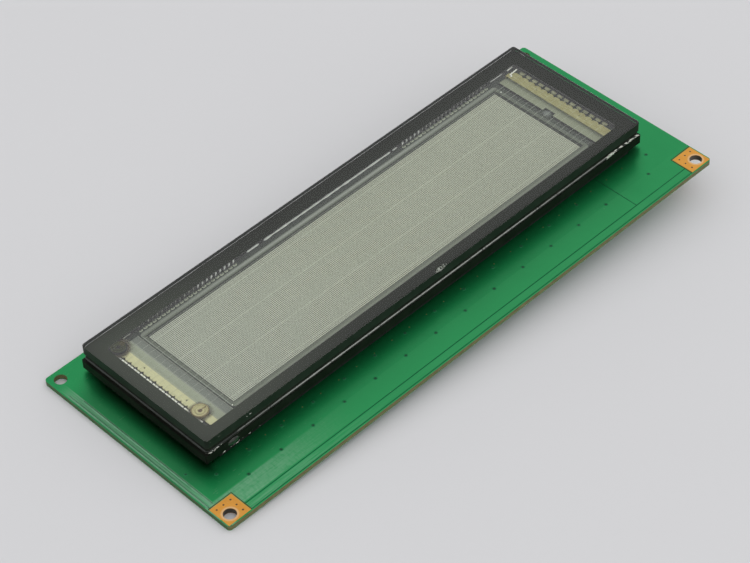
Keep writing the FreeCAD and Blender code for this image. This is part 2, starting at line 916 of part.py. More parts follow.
def build_tube():
    save("base_glass", base_glass())
    save("lower_seal", lower_seal())
    save("spacer_frame", spacer_frame())
    save("upper_seal", upper_seal())
    save("front_glass", front_glass())
    save("exhaust_seal", exhaust_seal())
    save("foam_tape", foam_tape())
    save("anode_plate", anode_plate())
    save("wiring_films", wiring_films())
    save("control_grid", control_grid())
    save("filament_anchor", support_strip(-1))
    save("filament_spring", support_strip(1))
    save("filament_wires", filament_wires())
    save("getter_back", getter(getter_back_y()))
    save("getter_front", getter(getter_front_y()))
    save("lead_pins_left", lead_group(-1))
    save("lead_pins_right", lead_group(1))
    save("filament_leads", filament_leads())


def build_board():
    save("circuit_board", circuit_board())
    save("ground_pads", ground_pads())
    save("header_shell", header_shell())
    save("header_pins", header_pins())
    save("power_wafer", power_wafer())
    save("power_pins", power_pin_set())


def build_packages():
    save("controller_body", under_board(package(controller_size), *controller_place))
    controller = package_leads(controller_size, controller_pin_count, controller_pin_count, controller_pitch,
                               controller_lead_width, controller_reach)
    save("controller_leads", under_board(controller, *controller_place))
    save("memory_body", under_board(package(memory_size), *memory_place, 90))
    memory = package_leads(memory_size, memory_pin_count, 0, memory_pitch, memory_lead_width, memory_reach)
    save("memory_leads", under_board(memory, *memory_place, 90))
    save("logic_body", under_board(package(logic_size), *logic_place))
    logic = package_leads(logic_size, logic_pin_count, 0, logic_pitch, logic_lead_width, logic_reach)
    save("logic_leads", under_board(logic, *logic_place))


def build_power_parts():
    transformer_place = (transformer_from_right, transformer_y())
    save("crystal_can", under_board(crystal_can(), *crystal_place))
    save("transformer_core", under_board(transformer_core(), *transformer_place))
    save("transformer_winding", under_board(transformer_winding(), *transformer_place))
    save("transformer_bobbin", under_board(transformer_bobbin(), *transformer_place))
    save("transformer_pins", transformer_pins())
    save("capacitor_cans", each_under_board(capacitor_can(), capacitor_places))
    save("capacitor_bases", each_under_board(capacitor_base(), capacitor_places))
    save("inductor_core", under_board(inductor_core(), *inductor_place))
    save("inductor_terminals", under_board(inductor_terminals(), *inductor_place))
    save("transistor_bodies", each_under_board(transistor_body(), transistor_places, 90))
    save("transistor_tabs", each_under_board(transistor_metal(), transistor_places, 90))
    save("diode_bodies", each_under_board(diode_body(), diode_places))
    save("diode_straps", each_under_board(diode_ends(), diode_places))


def build_chips():
    save("chip_resistors", Part.makeCompound(chip_rows(chip_body(chip_size), resistor_rows)))
    save("chip_capacitors", Part.makeCompound(chip_rows(chip_body(chip_cap_size), capacitor_rows)))
    ends = chip_rows(chip_ends(chip_size), resistor_rows) + chip_rows(chip_ends(chip_cap_size), capacitor_rows)
    save("chip_ends", Part.makeCompound(ends))


os.makedirs("parts", exist_ok=True)
build_tube()
build_board()
build_packages()
build_power_parts()
build_chips()
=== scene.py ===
"""Looks of a graphic vacuum fluorescent display module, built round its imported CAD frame."""

import math
import random

import bmesh
import bpy
from bpy.props import FloatProperty, FloatVectorProperty, IntProperty, PointerProperty
from mathutils import Matrix, Vector


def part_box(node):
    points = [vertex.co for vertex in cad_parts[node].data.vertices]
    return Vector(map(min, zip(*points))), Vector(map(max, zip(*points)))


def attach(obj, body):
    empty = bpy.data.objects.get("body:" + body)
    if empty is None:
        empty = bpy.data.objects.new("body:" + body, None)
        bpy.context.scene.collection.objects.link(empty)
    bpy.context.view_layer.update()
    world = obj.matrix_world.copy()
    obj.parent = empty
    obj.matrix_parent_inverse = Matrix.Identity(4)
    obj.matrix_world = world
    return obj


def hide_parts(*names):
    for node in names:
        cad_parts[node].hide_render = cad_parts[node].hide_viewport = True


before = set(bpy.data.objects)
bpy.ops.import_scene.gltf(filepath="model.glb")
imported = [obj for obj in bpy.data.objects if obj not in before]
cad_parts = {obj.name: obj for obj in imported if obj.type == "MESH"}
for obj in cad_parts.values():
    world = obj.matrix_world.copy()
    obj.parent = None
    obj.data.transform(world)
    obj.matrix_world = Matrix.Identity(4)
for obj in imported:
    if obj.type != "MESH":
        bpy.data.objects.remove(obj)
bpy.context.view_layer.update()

bl_info = {
    "name": "Dot display module",
    "version": (1, 0, 0),
    "blender": (4, 5, 0),
    "location": "View3D > Sidebar > Display module",
    "description": "Glass, dots, wiring, leads and board details of a dot display module",
    "category": "Object",
}

MM = 0.001
LEVEL, UNDER = (0.0, 0.0, 0.0), (math.pi, 0.0, 0.0)

# Places that the frame gives, in metres

BOARD_LOW, BOARD_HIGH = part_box("circuit_board")
PAD_LOW, PAD_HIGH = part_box("ground_pads")
GLASS_LOW, GLASS_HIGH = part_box("front_glass")
BASE_LOW, BASE_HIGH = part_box("base_glass")
SEAL_LOW, SEAL_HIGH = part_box("upper_seal")
HEADER_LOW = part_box("header_shell")[0]
ANODE_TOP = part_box("anode_plate")[1].z
GRID_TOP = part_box("control_grid")[1].z
ANCHOR_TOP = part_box("filament_anchor")[1].z
SPRING_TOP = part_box("filament_spring")[1].z
BOARD_TOP, BOARD_UNDER = BOARD_HIGH.z, BOARD_LOW.z
HALF_X, HALF_Y = GLASS_HIGH.x, (GLASS_HIGH.y - GLASS_LOW.y) / 2
TUBE_Y = (GLASS_LOW.y + GLASS_HIGH.y) / 2

# Places and pitches in millimetres, as in the CAD source

TUBE_MIDDLE = TUBE_Y / MM
GETTER_X = -(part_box("getter_back")[0].x + 3.0 * MM) / MM
HOLE_X, HOLE_Y = 86.25, 32.0
BOARD_LENGTH = 178.5
LEAD_START, LEAD_PITCH, LEAD_COUNT = 31.35, 1.55, 22
PIN_Y = 30.3
WIRE_PITCH, WIRE_COUNT = 2.37, 14
PACKAGE_PITCH, SMALL_PITCH = 0.8, 1.27
WALL_Y, WALL_LINE_Z, WALL_LUMP_Z = 26.2, 14.85, 15.0
SIDE_WALL_X, SIDE_LINE_Z = 75.86, 15.45
DAB_Y, TAB_Z, BEAD_Z = 25.7, 15.2, 14.66
PAN_Z, STEM_TOP_Z = 15.58, 15.3
GLASS_CORNER = 1.0
CHIP_X, CHIP_ABOVE, CHIP_RADIUS = 1.8, 2.687, 4.6


def screen(red, green, blue):
    """A colour read on a screen, 0 to 255, as the linear colour that a shader takes."""
    def linear(value):
        value /= 255
        return value / 12.92 if value <= 0.04045 else ((value + 0.055) / 1.055) ** 2.4
    return (linear(red), linear(green), linear(blue))


def under_glass(red, green, blue):
    """A colour read through the front glass, without what the glass reflects and takes."""
    return tuple(max(0.004, (part - 0.04) / 0.74) for part in screen(red, green, blue))


def shade(colour, share):
    """A colour with all its parts times one factor."""
    return tuple(share * part for part in colour)


# Settings

def colour_setting(name, default, about):
    return FloatVectorProperty(name=name, description=about, default=default, subtype="COLOR",
                               size=3, min=0.0, max=1.0)


def length_setting(name, default, about):
    return FloatProperty(name=name, description=about, default=default, unit="LENGTH",
                         subtype="DISTANCE", precision=6, min=0.0)


def angle_setting(name, degrees, about):
    return FloatProperty(name=name, description=about, default=math.radians(degrees), subtype="ANGLE")


class BoardSettings(bpy.types.PropertyGroup):
    mask: colour_setting("Solder resist", (0.015, 0.318, 0.094), "Green of the solder resist")
    mask_dark: colour_setting("Resist over bare board", (0.011, 0.276, 0.080), "Resist with no copper under it")
    laminate: colour_setting("Board edge", screen(120, 120, 78), "Cut edge of the glass-fibre board")
    gold: colour_setting("Gold plating", (0.82, 0.38, 0.07), "Plating of the ground pads")
    ink: colour_setting("White ink", screen(226, 228, 220), "Printed outlines under the board")
    track_height: length_setting("Track height", 0.035 * MM, "How far a track stands out under the resist")
    via_radius: length_setting("Via radius", 0.42 * MM, "Radius of a via's ring")
    solder: colour_setting("Solder", screen(196, 198, 198), "Soldered joints")


class TubeSettings(bpy.types.PropertyGroup):
    tint: colour_setting("Glass tint", (0.955, 0.968, 0.95), "What one face of the glass lets through")
    # The glint colour is a painted highlight on the fused bead.
    painted_glint: colour_setting("Glint", (0.90, 0.92, 0.86), "Bright edges of the fused glass")
    border: length_setting("Border width", 4.4 * MM, "Width of the dark border round the window")
    bite: length_setting("Fused depth", 0.02 * MM, "How far the seals are fused into the glass")
    frit: colour_setting("Frit", (0.017, 0.020, 0.015), "Fused black sealing glass")


class DotSettings(bpy.types.PropertyGroup):
    columns: IntProperty(name="Columns", description="Dots along the tube", default=256, min=2)
    rows: IntProperty(name="Rows", description="Dots across the tube", default=64, min=2)
    pitch: length_setting("Pitch", 0.5 * MM, "Distance from dot to dot")
    side: length_setting("Dot side", 0.37 * MM, "Side of one phosphor dot")
    rise: length_setting("Dot height", 0.03 * MM, "Thickness of the phosphor")
    phosphor: colour_setting("Phosphor", (0.56, 0.585, 0.46), "Unlit phosphor")
    phosphor_cool: colour_setting("Cooler phosphor", (0.60, 0.63, 0.545), "Unlit phosphor towards the left end")
    ground: colour_setting("Ground", (0.055, 0.06, 0.05), "Dark plate between the dots")


class InnerSettings(bpy.types.PropertyGroup):
    strip: colour_setting("Wide film", under_glass(146, 151, 135), "Pale film beside the left support")
    strip_right: colour_setting("Wide film, right", under_glass(133, 137, 119), "Film beside the right support")
    zone: colour_setting("Narrow film", under_glass(117, 121, 115), "Fan-out film left of the grid")
    zone_right: colour_setting("Narrow film, right", under_glass(75, 78, 74), "Fan-out film right of the grid")
    gap: colour_setting("Gap", under_glass(54, 58, 50), "Dark gap round the exhaust hole")
    floor: colour_setting("Insulating layer", under_glass(78, 82, 78), "Layer on the base glass")
    support: colour_setting("Support metal", under_glass(189, 186, 148), "Filament support at the left")
    support_right: colour_setting("Support metal, right", under_glass(139, 134, 94), "Support at the right")
    grid: colour_setting("Grid metal", under_glass(100, 105, 94), "Rim and bars of the control grid")


class PartsSettings(bpy.types.PropertyGroup):
    epoxy: colour_setting("Epoxy", (0.018, 0.018, 0.020), "Moulded packages")
    nylon: colour_setting("Nylon", screen(226, 220, 200), "Natural nylon of the power wafer")
    black: colour_setting("Black plastic", (0.016, 0.016, 0.017), "Header and bases")
    can: colour_setting("Can metal", (0.74, 0.74, 0.75), "Drawn cans")
    tape: colour_setting("Winding tape", (0.62, 0.36, 0.03), "Tape on the winding")
    ferrite: colour_setting("Ferrite", (0.035, 0.035, 0.038), "Ground ferrite")
    tin: colour_setting("Tinned metal", (0.62, 0.62, 0.61), "Leads and pins")


class StageSettings(bpy.types.PropertyGroup):
    camera_place: FloatVectorProperty(
        name="Camera place", description="Where the camera stands", unit="LENGTH",
        subtype="TRANSLATION", size=3, default=(-0.32406, -0.34796, 0.48365))
    elevation: angle_setting("Elevation", -45.238, "How far the camera looks down")
    azimuth: angle_setting("Azimuth", 47.53, "Where the camera looks, from +X towards +Y")
    roll: angle_setting("Roll", -3.058, "How far the camera leans")
    lens: FloatProperty(name="Lens", description="Focal length in millimetres", default=122.155, min=1.0)
    floor: colour_setting("Floor", (0.645, 0.645, 0.66), "Plain pale floor")
    backdrop: colour_setting("Backdrop", (0.80, 0.80, 0.81), "Plain pale backdrop")
    floor_size: length_setting("Floor size", 6.0, "Side of the floor")
    light: FloatProperty(name="Light", description="Strength of the even light all round", default=0.96)
    lamp: FloatProperty(name="Lamp", description="Power of the soft lamp in watts", default=2.0)
    lamp_azimuth: angle_setting("Lamp azimuth", -75, "Where the lamp hangs, from +X towards +Y")
    lamp_elevation: angle_setting("Lamp elevation", 64, "How high the lamp hangs")
    lamp_distance: length_setting("Lamp distance", 1.9, "How far away the lamp hangs")
    lamp_size: length_setting("Lamp size", 0.7, "Side of the lamp")


SETTINGS = {
    "display_board": BoardSettings,
    "display_tube": TubeSettings,
    "display_dots": DotSettings,
    "display_inner": InnerSettings,
    "display_parts": PartsSettings,
    "display_stage": StageSettings,
}


# Outlines and paths

def in_metres(*points):
    return [tuple(value * MM for value in point) for point in points]


def on_board(x, y, *z):
    """A place given in millimetres from the board's front left corner, with a height in metres or none."""
    return (BOARD_LOW.x + x * MM, BOARD_LOW.y + y * MM, *z)


def rectangle(x0, y0, x1, y1):
    return [(x0, y0), (x1, y0), (x1, y1), (x0, y1)]


def circle(x, y, radius, segments):
    turns = [2 * math.pi * k / segments for k in range(segments)]
    return [(x + radius * math.cos(a), y + radius * math.sin(a)) for a in turns]


def at_height(outline, z):
    return [(x, y, z) for x, y in outline]


def along_outline(corners, step):
    """Points along a closed outline, about one step apart, with its corners."""
    points = []
    for start, end in zip(corners, corners[1:] + corners[:1]):
        start, end = Vector((*start, 0)), Vector((*end, 0))
        count = max(1, round((end - start).length / step))
        points += [tuple(start.lerp(end, k / count))[:2] for k in range(count)]
    return points


def seal_outline(setback, cut, step, wobble, seed):
    """The outline of a seal round the tube: a rectangle with cut corners and a softly uneven edge."""
    chance = random.Random(seed)
    x, y = HALF_X - setback, HALF_Y - setback
    corners = [(-x + cut, -y), (x - cut, -y), (x, -y + cut), (x, y - cut),
               (x - cut, y), (-x + cut, y), (-x, y - cut), (-x, -y + cut)]
    waves = [(chance.uniform(150, 900), chance.uniform(0, 6.28)) for _ in range(4)]
    shaped = []
    for px, py in along_outline(corners, step):
        sway = sum(math.sin((px + 1.7 * py) * w + p) for w, p in waves) / 4
        shrink = wobble * (0.5 + 0.5 * sway)
        shaped.append((px * (1 - shrink / x), TUBE_Y + py * (1 - shrink / y)))
    return shaped


def glass_outline(out):
    """The front glass's outline with its round corners, widened by the given length."""
    radius = GLASS_CORNER * MM
    corners = []
    for turn, (side_x, side_y) in enumerate(((1, 1), (-1, 1), (-1, -1), (1, -1))):
        for k in range(7):
            angle = math.radians(90 * turn + 15 * k)
            corners.append((side_x * (HALF_X - radius) + (radius + out) * math.cos(angle),
                            TUBE_Y + side_y * (HALF_Y - radius) + (radius + out) * math.sin(angle)))
    return along_outline(corners, 0.5 * MM)


def facing_outline(border, outer):
    """Points of the window's rectangle, inside the border, that face the points of an outer outline."""
    points = []
    for px, py in outer:
        dx, dy = px, py - TUBE_Y
        scale = 1 / max(abs(dx) / (HALF_X - border), abs(dy) / (HALF_Y - border))
        points.append((dx * scale, TUBE_Y + dy * scale))
    return points


def bent(x, y, level, end, last, cut):
    """A path that leaves (x, y), runs along one level and turns off to (end, last), with cut corners."""
    side = math.copysign(cut, end - x)
    return [(x, y), (x, level + math.copysign(cut, y - level)), (x + side, level), (end - side, level),
            (end, level + math.copysign(cut, last - level)), (end, last)]


# Meshes

def loft(stacks, ring=False):
    """Closed solids through stacks of loops of points. One point is a pole, and a ring has no ends."""
    builder = bmesh.new()
    for stack in stacks:
        loops = [[builder.verts.new(point) for point in loop] for loop in stack]
        for low, high in zip(loops, loops[1:] + (loops[:1] if ring else [])):
            count = max(len(low), len(high))
            for k in range(count):
                after = (k + 1) % count
                corners = (low[k % len(low)], low[after % len(low)], high[after % len(high)], high[k % len(high)])
                builder.faces.new(list(dict.fromkeys(corners)))
        for end in () if ring else (loops[0][::-1], loops[-1]):
            if len(end) > 1:
                builder.faces.new(end)
    bmesh.ops.recalc_face_normals(builder, faces=builder.faces)
    mesh = bpy.data.meshes.new("mesh")
    builder.to_mesh(mesh)
    builder.free()
    return mesh


def plates(outlines, low, high):
    """Closed plates with the given outlines between two heights."""
    return loft([[at_height(outline, low), at_height(outline, high)] for outline in outlines])


def frame_plate(outer, inner, low, high):
    """A closed flat frame between two outlines that have the same number of points."""
    return loft([[at_height(outer, low), at_height(outer, high), at_height(inner, high),
                  at_height(inner, low)]], ring=True)


def turned(profile, segments, stretch=(1.0, 1.0, 1.0)):
    """A closed solid turned round Z from (radius, height) points in millimetres, from pole to pole."""
    across, ahead, up = (part * MM for part in stretch)
    return loft([[[(x * across, y * ahead, height * up) for x, y in circle(0, 0, radius, segments)]
                  if radius else [(0, 0, height * up)] for radius, height in profile]])


def splinter(thick=1.0):
    """A thin eight-sided splinter, one unit long."""
    belt = [(0.05, 0.12 * thick, 0), (-0.05, 0, 0.14 * thick), (0.0, -0.12 * thick, 0), (0.08, 0, -0.10 * thick)]
    return loft([[[(-0.5, 0, 0)], belt, [(0.5, 0, 0)]]])


def bead(path, radius, seed, closed=False, rough=0.35, sides=8):
    """A closed bead along a path of 3-D points, thicker and thinner along its way."""
    chance = random.Random(seed)
    waves = [(chance.uniform(250, 2200), chance.uniform(0, 6.28)) for _ in range(5)]
    rings = []
    count = len(path)
    for k, place in enumerate(path):
        before = Vector(path[(k - 1) % count] if closed or k else path[k])
        after = Vector(path[(k + 1) % count] if closed or k + 1 < count else path[k])
        ahead = (after - before).normalized()
        out = Vector((ahead.y, -ahead.x, 0)).normalized()
        travel = place[0] + 1.7 * place[1]
        size = radius * (1 + rough * sum(math.sin(travel * w + p) for w, p in waves) / 5)
        if not closed and k in (0, count - 1):
            size *= 0.3
        rings.append([Vector(place) + (out * across + Vector((0, 0, up))) * size
                      for across, up in circle(0, 0, 1, sides)])
    return loft([rings], ring=closed)


def straight_bead(start, end, count, radius, seed, rough):
    """A bead from one place to another, in millimetres."""
    path = [Vector(start).lerp(Vector(end), k / count) * MM for k in range(count + 1)]
    return bead(path, radius * MM, seed, rough=rough)


def dress(name, mesh, material):
    """Puts a finished mesh in the scene as a piece that rides on the module."""
    mesh.name = name
    mesh.materials.clear()
    mesh.materials.append(material)
    piece = bpy.data.objects.new(name, mesh)
    bpy.context.scene.collection.objects.link(piece)
    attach(piece, "root")
    return piece


def give(material, *nodes):
    """Gives CAD nodes a finished material."""
    for node in nodes:
        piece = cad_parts[node]
        if not piece.material_slots:
            piece.data.materials.append(material)
        for slot in piece.material_slots:
            slot.material = material


# What the frame tells about leads and pins

def separate_parts(nodes):
    """The points of each separate part of some CAD nodes, as lists of vectors."""
    parts = []
    for node in nodes:
        builder = bmesh.new()
        builder.from_mesh(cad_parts[node].data)
        bmesh.ops.remove_doubles(builder, verts=builder.verts, dist=0.001 * MM)
        seen = set()
        for start in builder.verts:
            if start in seen:
                continue
            seen.add(start)
            group = [start]
            for vert in group:
                others = [edge.other_vert(vert) for edge in vert.link_edges]
                fresh = [other for other in others if other not in seen]
                seen.update(fresh)
                group += fresh
            parts.append([vert.co.copy() for vert in group])
        builder.free()
    return parts


def rectangle_of(points):
    """The lowest and highest x and y of some points."""
    return (min(p.x for p in points), min(p.y for p in points),
            max(p.x for p in points), max(p.y for p in points))


def pin_centres(z, *nodes):
    """The middle of each upright pin of some nodes, at a height."""
    centres = []
    for part in separate_parts(nodes):
        tail = [p for p in part if p.z < BOARD_UNDER or p.z > BOARD_TOP] or part
        x0, y0, x1, y1 = rectangle_of(tail)
        centres.append(((x0 + x1) / 2, (y0 + y1) / 2, z))
    return centres


def foot_solder(margin, depth, *nodes):
    """Sloped solder round the feet of some nodes' leads on the underside of the board."""
    stacks = []
    for part in separate_parts(nodes):
        foot = [p for p in part if p.z > BOARD_UNDER - 0.3 * MM]
        if foot:
            x0, y0, x1, y1 = rectangle_of(foot)
            wide, tight = (rectangle(x0 - out, y0 - out, x1 + out, y1 + out) for out in (margin, margin * 0.25))
            stacks.append([at_height(wide, BOARD_UNDER + 0.01 * MM), at_height(wide, BOARD_UNDER - 0.03 * MM),
                           at_height(tight, BOARD_UNDER - depth)])
    return loft(stacks)


# Nodes

class Value:
    """A node's output in plain arithmetic, where a product of masks is what they all cover."""

    def __init__(self, nodes, socket):
        self.nodes, self.socket = nodes, socket

    def __add__(self, other):
        return self.nodes.math("ADD", self, other)

    def __sub__(self, other):
        return self.nodes.math("SUBTRACT", self, other)

    def __rsub__(self, other):
        return self.nodes.math("SUBTRACT", other, self)

    def __mul__(self, other):
        return self.nodes.math("MULTIPLY", self, other)

    def __abs__(self):
        return self.nodes.math("ABSOLUTE", self)

    def __lt__(self, other):
        return self.nodes.math("LESS_THAN", self, other)

    def __gt__(self, other):
        return self.nodes.math("GREATER_THAN", self, other)

    def most(self, other):
        return self.nodes.math("MAXIMUM", self, other)

    def span(self, low, high, to_low=0.0, to_high=1.0):
        """Maps low..high to to_low..to_high, smoothly, and holds it at both ends."""
        node = self.nodes.add("ShaderNodeMapRange", {0: self, 1: low, 2: high, 3: to_low, 4: to_high},
                              clamp=True, interpolation_type="SMOOTHSTEP")
        return Value(self.nodes, node.outputs[0])

    def fall(self, low, high, top=1.0):
        """Falls from top to nothing between low and high."""
        return self.span(low, high, top, 0.0)

    def band(self, low, high, soft):
        """1 between low and high, fading over soft at each side."""
        return self.span(low - soft, low + soft) * self.fall(high - soft, high + soft)


class Nodes:
    """Short ways to add and join the nodes of one tree."""

    def __init__(self, tree):
        self.tree = tree
        self.here = None

    def add(self, kind, inputs=None, **settings):
        """A node with its settings, and with values or other outputs on its inputs."""
        node = self.tree.nodes.new(kind)
        for name, value in settings.items():
            setattr(node, name, value)
        for key, value in (inputs or {}).items():
            self.join(value, node.inputs[key])
        return node

    def join(self, value, socket):
        """Puts a number, a colour or another node's output on a socket."""
        if isinstance(value, Value):
            value = value.socket
        if isinstance(value, bpy.types.NodeSocket):
            self.tree.links.new(value, socket)
        elif value is not None:
            socket.default_value = (*value[:3], 1.0) if socket.type == "RGBA" else value

    def math(self, operation, first, second=None, clamp=False):
        node = self.add("ShaderNodeMath", {0: first, 1: second}, operation=operation, use_clamp=clamp)
        return Value(self, node.outputs[0])

    def mix(self, share, first, second):
        node = self.add("ShaderNodeMix", {0: share}, data_type="RGBA")
        self.join(first, node.inputs[6])
        self.join(second, node.inputs[7])
        return Value(self, node.outputs[2])

    def place(self):
        """Object coordinates in millimetres."""
        if self.here is None:
            seen = self.add("ShaderNodeTexCoord").outputs["Object"]
            self.here = self.add("ShaderNodeVectorMath", {0: seen, "Scale": 1 / MM}, operation="SCALE").outputs[0]
        return self.here

    def parts(self, vector):
        return [Value(self, part) for part in self.add("ShaderNodeSeparateXYZ", {0: vector}).outputs]

    def distance(self, aside, ahead):
        return self.math("SQRT", aside * aside + ahead * ahead)

    def noise(self, scale, detail, roughness, stretch=None):
        """Noise over the object, finer along an axis that stretch makes longer."""
        place = self.place()
        if stretch is not None:
            place = self.add("ShaderNodeVectorMath", {0: place, 1: stretch}, operation="MULTIPLY").outputs[0]
        node = self.add("ShaderNodeTexNoise", {"Vector": place, "Scale": scale, "Detail": detail,
                                               "Roughness": roughness})
        return Value(self, node.outputs["Fac"])


def new_group(name, kind, inputs, outputs):
    """A node group with the nodes that hold its inputs and take its outputs."""
    tree = bpy.data.node_groups.new(name, kind)
    for label, socket_kind, default in inputs:
        socket = tree.interface.new_socket(label, in_out="INPUT", socket_type=f"NodeSocket{socket_kind}")
        if default is not None:
            socket.default_value = default
    for label, socket_kind in outputs:
        tree.interface.new_socket(label, in_out="OUTPUT", socket_type=f"NodeSocket{socket_kind}")
    n = Nodes(tree)
    return n, n.add("NodeGroupInput").outputs, n.add("NodeGroupOutput").inputs


# Geometry Nodes

def geometry_group(name, inputs):
    """A tree with a geometry input, named inputs and a geometry output."""
    return new_group(name, "GeometryNodeTree", [("Geometry", "Geometry", None), *inputs,
                                                ("Material", "Material", None)], [("Geometry", "Geometry")])


def close_group(n, source, given, result):
    """Ends a tree in Realize Instances and Set Material."""
    real = n.add("GeometryNodeRealizeInstances", {"Geometry": source})
    painted = n.add("GeometryNodeSetMaterial", {"Geometry": real.outputs[0], "Material": given["Material"]})
    n.join(painted.outputs[0], result["Geometry"])
    return n.tree


def lattice_tree():
    """A field of small blocks on a square pitch."""
    n, given, result = geometry_group("dot_lattice", [
        ("Columns", "Int", 2), ("Rows", "Int", 2), ("Pitch", "Float", 1.0),
        ("Block", "Vector", (1.0, 1.0, 1.0)), ("Centre", "Vector", (0.0, 0.0, 0.0))])
    sizes = {}
    for count, axis in (("Columns", "X"), ("Rows", "Y")):
        sizes[f"Size {axis}"] = n.math("SUBTRACT", given[count], 1.0) * given["Pitch"]
        sizes[f"Vertices {axis}"] = given[count]
    grid = n.add("GeometryNodeMeshGrid", sizes)
    cube = n.add("GeometryNodeMeshCube", {"Size": given["Block"]})
    field = n.add("GeometryNodeInstanceOnPoints", {"Points": grid.outputs["Mesh"], "Instance": cube.outputs["Mesh"]})
    moved = n.add("GeometryNodeTransform", {"Geometry": field.outputs[0], "Translation": given["Centre"]})
    return close_group(n, moved.outputs[0], given, result)


def copies_tree():
    """Copies of one small shape on the host's points, turned as each point says."""
    n, given, result = geometry_group("copies_on_points", [
        ("Shape", "Object", None), ("Size", "Float", 1.0), ("Spread", "Float", 0.0), ("Seed", "Int", 1)])
    shape = n.add("GeometryNodeObjectInfo", {"Object": given["Shape"]})
    turn = n.add("GeometryNodeInputNamedAttribute", {"Name": "turn"}, data_type="FLOAT_VECTOR")
    rotation = n.add("FunctionNodeEulerToRotation", {"Euler": turn.outputs["Attribute"]})
    chance = n.add("FunctionNodeRandomValue", {
        2: n.math("SUBTRACT", 1.0, given["Spread"]), 3: n.math("ADD", 1.0, given["Spread"]),
        "Seed": given["Seed"]}, data_type="FLOAT")
    placed = n.add("GeometryNodeInstanceOnPoints", {
        "Points": given["Geometry"], "Instance": shape.outputs["Geometry"], "Rotation": rotation.outputs[0],
        "Scale": n.math("MULTIPLY", chance.outputs[1], given["Size"])})
    return close_group(n, placed.outputs[0], given, result)


def track_tree():
    """A flat track along each of the host's paths, with its corners rounded."""
    n, given, result = geometry_group("tracks_on_paths", [
        ("Width", "Float", 0.3 * MM), ("Height", "Float", 0.03 * MM), ("Corner", "Float", 0.3 * MM)])
    curve = n.add("GeometryNodeMeshToCurve", {"Mesh": given["Geometry"]})
    rounded = n.add("GeometryNodeFilletCurve", {
        "Curve": curve.outputs[0], "Radius": given["Corner"], "Count": 2, "Limit Radius": True}, mode="POLY")
    upright = n.add("GeometryNodeSetCurveNormal", {"Curve": rounded.outputs[0]}, mode="Z_UP")
    section = n.add("GeometryNodeCurvePrimitiveQuadrilateral", {
        "Width": given["Width"], "Height": given["Height"]}, mode="RECTANGLE")
    swept = n.add("GeometryNodeCurveToMesh", {
        "Curve": upright.outputs[0], "Profile Curve": section.outputs[0], "Fill Caps": True})
    return close_group(n, swept.outputs[0], given, result)


def grown(host_mesh, tree, **values):
    """The plain mesh that a tree makes of a host mesh."""
    host = bpy.data.objects.new("host", host_mesh)
    bpy.context.scene.collection.objects.link(host)
    maker = host.modifiers.new("maker", "NODES")
    maker.node_group = tree
    for item in tree.interface.items_tree:
        if item.item_type == "SOCKET" and item.in_out == "INPUT" and item.name in values:
            maker[item.identifier] = values[item.name]
    graph = bpy.context.evaluated_depsgraph_get()
    mesh = bpy.data.meshes.new_from_object(host.evaluated_get(graph))
    bpy.data.objects.remove(host)
    return mesh


def copies(name, shape_mesh, points, material, turn=None, turns=None, size=1.0, spread=0.0, seed=1):
    """One piece made of copies of a small shape. Without a turn they face away from the board's middle."""
    middle = (BOARD_TOP + BOARD_UNDER) / 2
    turns = turns or [turn or (UNDER if point[2] < middle else LEVEL) for point in points]
    host = bpy.data.meshes.new("points")
    host.from_pydata(points, [], [])
    attribute = host.attributes.new("turn", "FLOAT_VECTOR", "POINT")
    attribute.data.foreach_set("vector", [value for each in turns for value in each])
    shape = bpy.data.objects.new("shape", shape_mesh)
    bpy.context.scene.collection.objects.link(shape)
    mesh = grown(host, TREES["copies"], Shape=shape, Size=size, Spread=spread, Seed=seed, Material=material)
    bpy.data.objects.remove(shape)
    return dress(name, mesh, material)


def tracks(name, paths, z, width, height, material, corner=0.0):
    """One piece made of flat tracks along paths, half sunk into the board.

    The paths and z are in metres, and the width, height and corner radius in millimetres.
    """
    points, edges = [], []
    for path in paths:
        first = len(points)
        points += at_height(path, z)
        edges += [(first + k, first + k + 1) for k in range(len(path) - 1)]
    host = bpy.data.meshes.new("paths")
    host.from_pydata(points, edges, [])
    mesh = grown(host, TREES["track"], Width=width * MM, Height=2 * height * MM, Corner=corner * MM,
                 Material=material)
    return dress(name, mesh, material)


TREES = {}


# Shader groups

def variation_group():
    """Colour, roughness and height that change gently over a surface."""
    n, given, result = new_group("surface_variation", "ShaderNodeTree", [
        ("Colour", "Color", (0.5, 0.5, 0.5, 1.0)), ("Tone", "Color", (0.4, 0.4, 0.4, 1.0)),
        ("Tone Share", "Float", 0.3), ("Patch", "Float", 0.15), ("Roughness", "Float", 0.5),
        ("Roughness Spread", "Float", 0.1), ("Grain", "Float", 3.0)],
        [("Colour", "Color"), ("Roughness", "Float"), ("Height", "Float")])
    patches = n.noise(given["Patch"], 4.0, 0.6)
    grain = n.noise(given["Grain"], 3.0, 0.55)
    colour = n.mix(patches.span(0.35, 0.7) * given["Tone Share"], given["Colour"], given["Tone"])
    colour = n.mix(grain.span(0.4, 0.7) * given["Tone Share"] * 0.5, colour, given["Tone"])
    sway = (patches * 2.0 - 1.0) * given["Roughness Spread"]
    n.join(colour, result["Colour"])
    n.join(n.math("ADD", given["Roughness"], sway, clamp=True), result["Roughness"])
    n.join(grain, result["Height"])
    return n.tree


def dust_group():
    """A mask of sparse small specks of dust."""
    n, given, result = new_group("dust_specks", "ShaderNodeTree", [
        ("Scale", "Float", 0.6), ("Size", "Float", 0.12), ("Share", "Float", 0.3)], [("Mask", "Float")])
    cells = n.add("ShaderNodeTexVoronoi", {"Vector": n.place(), "Scale": given["Scale"]})
    near = n.math("LESS_THAN", cells.outputs["Distance"], given["Size"])
    n.join(near * (n.parts(cells.outputs["Color"])[0] < given["Share"]), result["Mask"])
    return n.tree


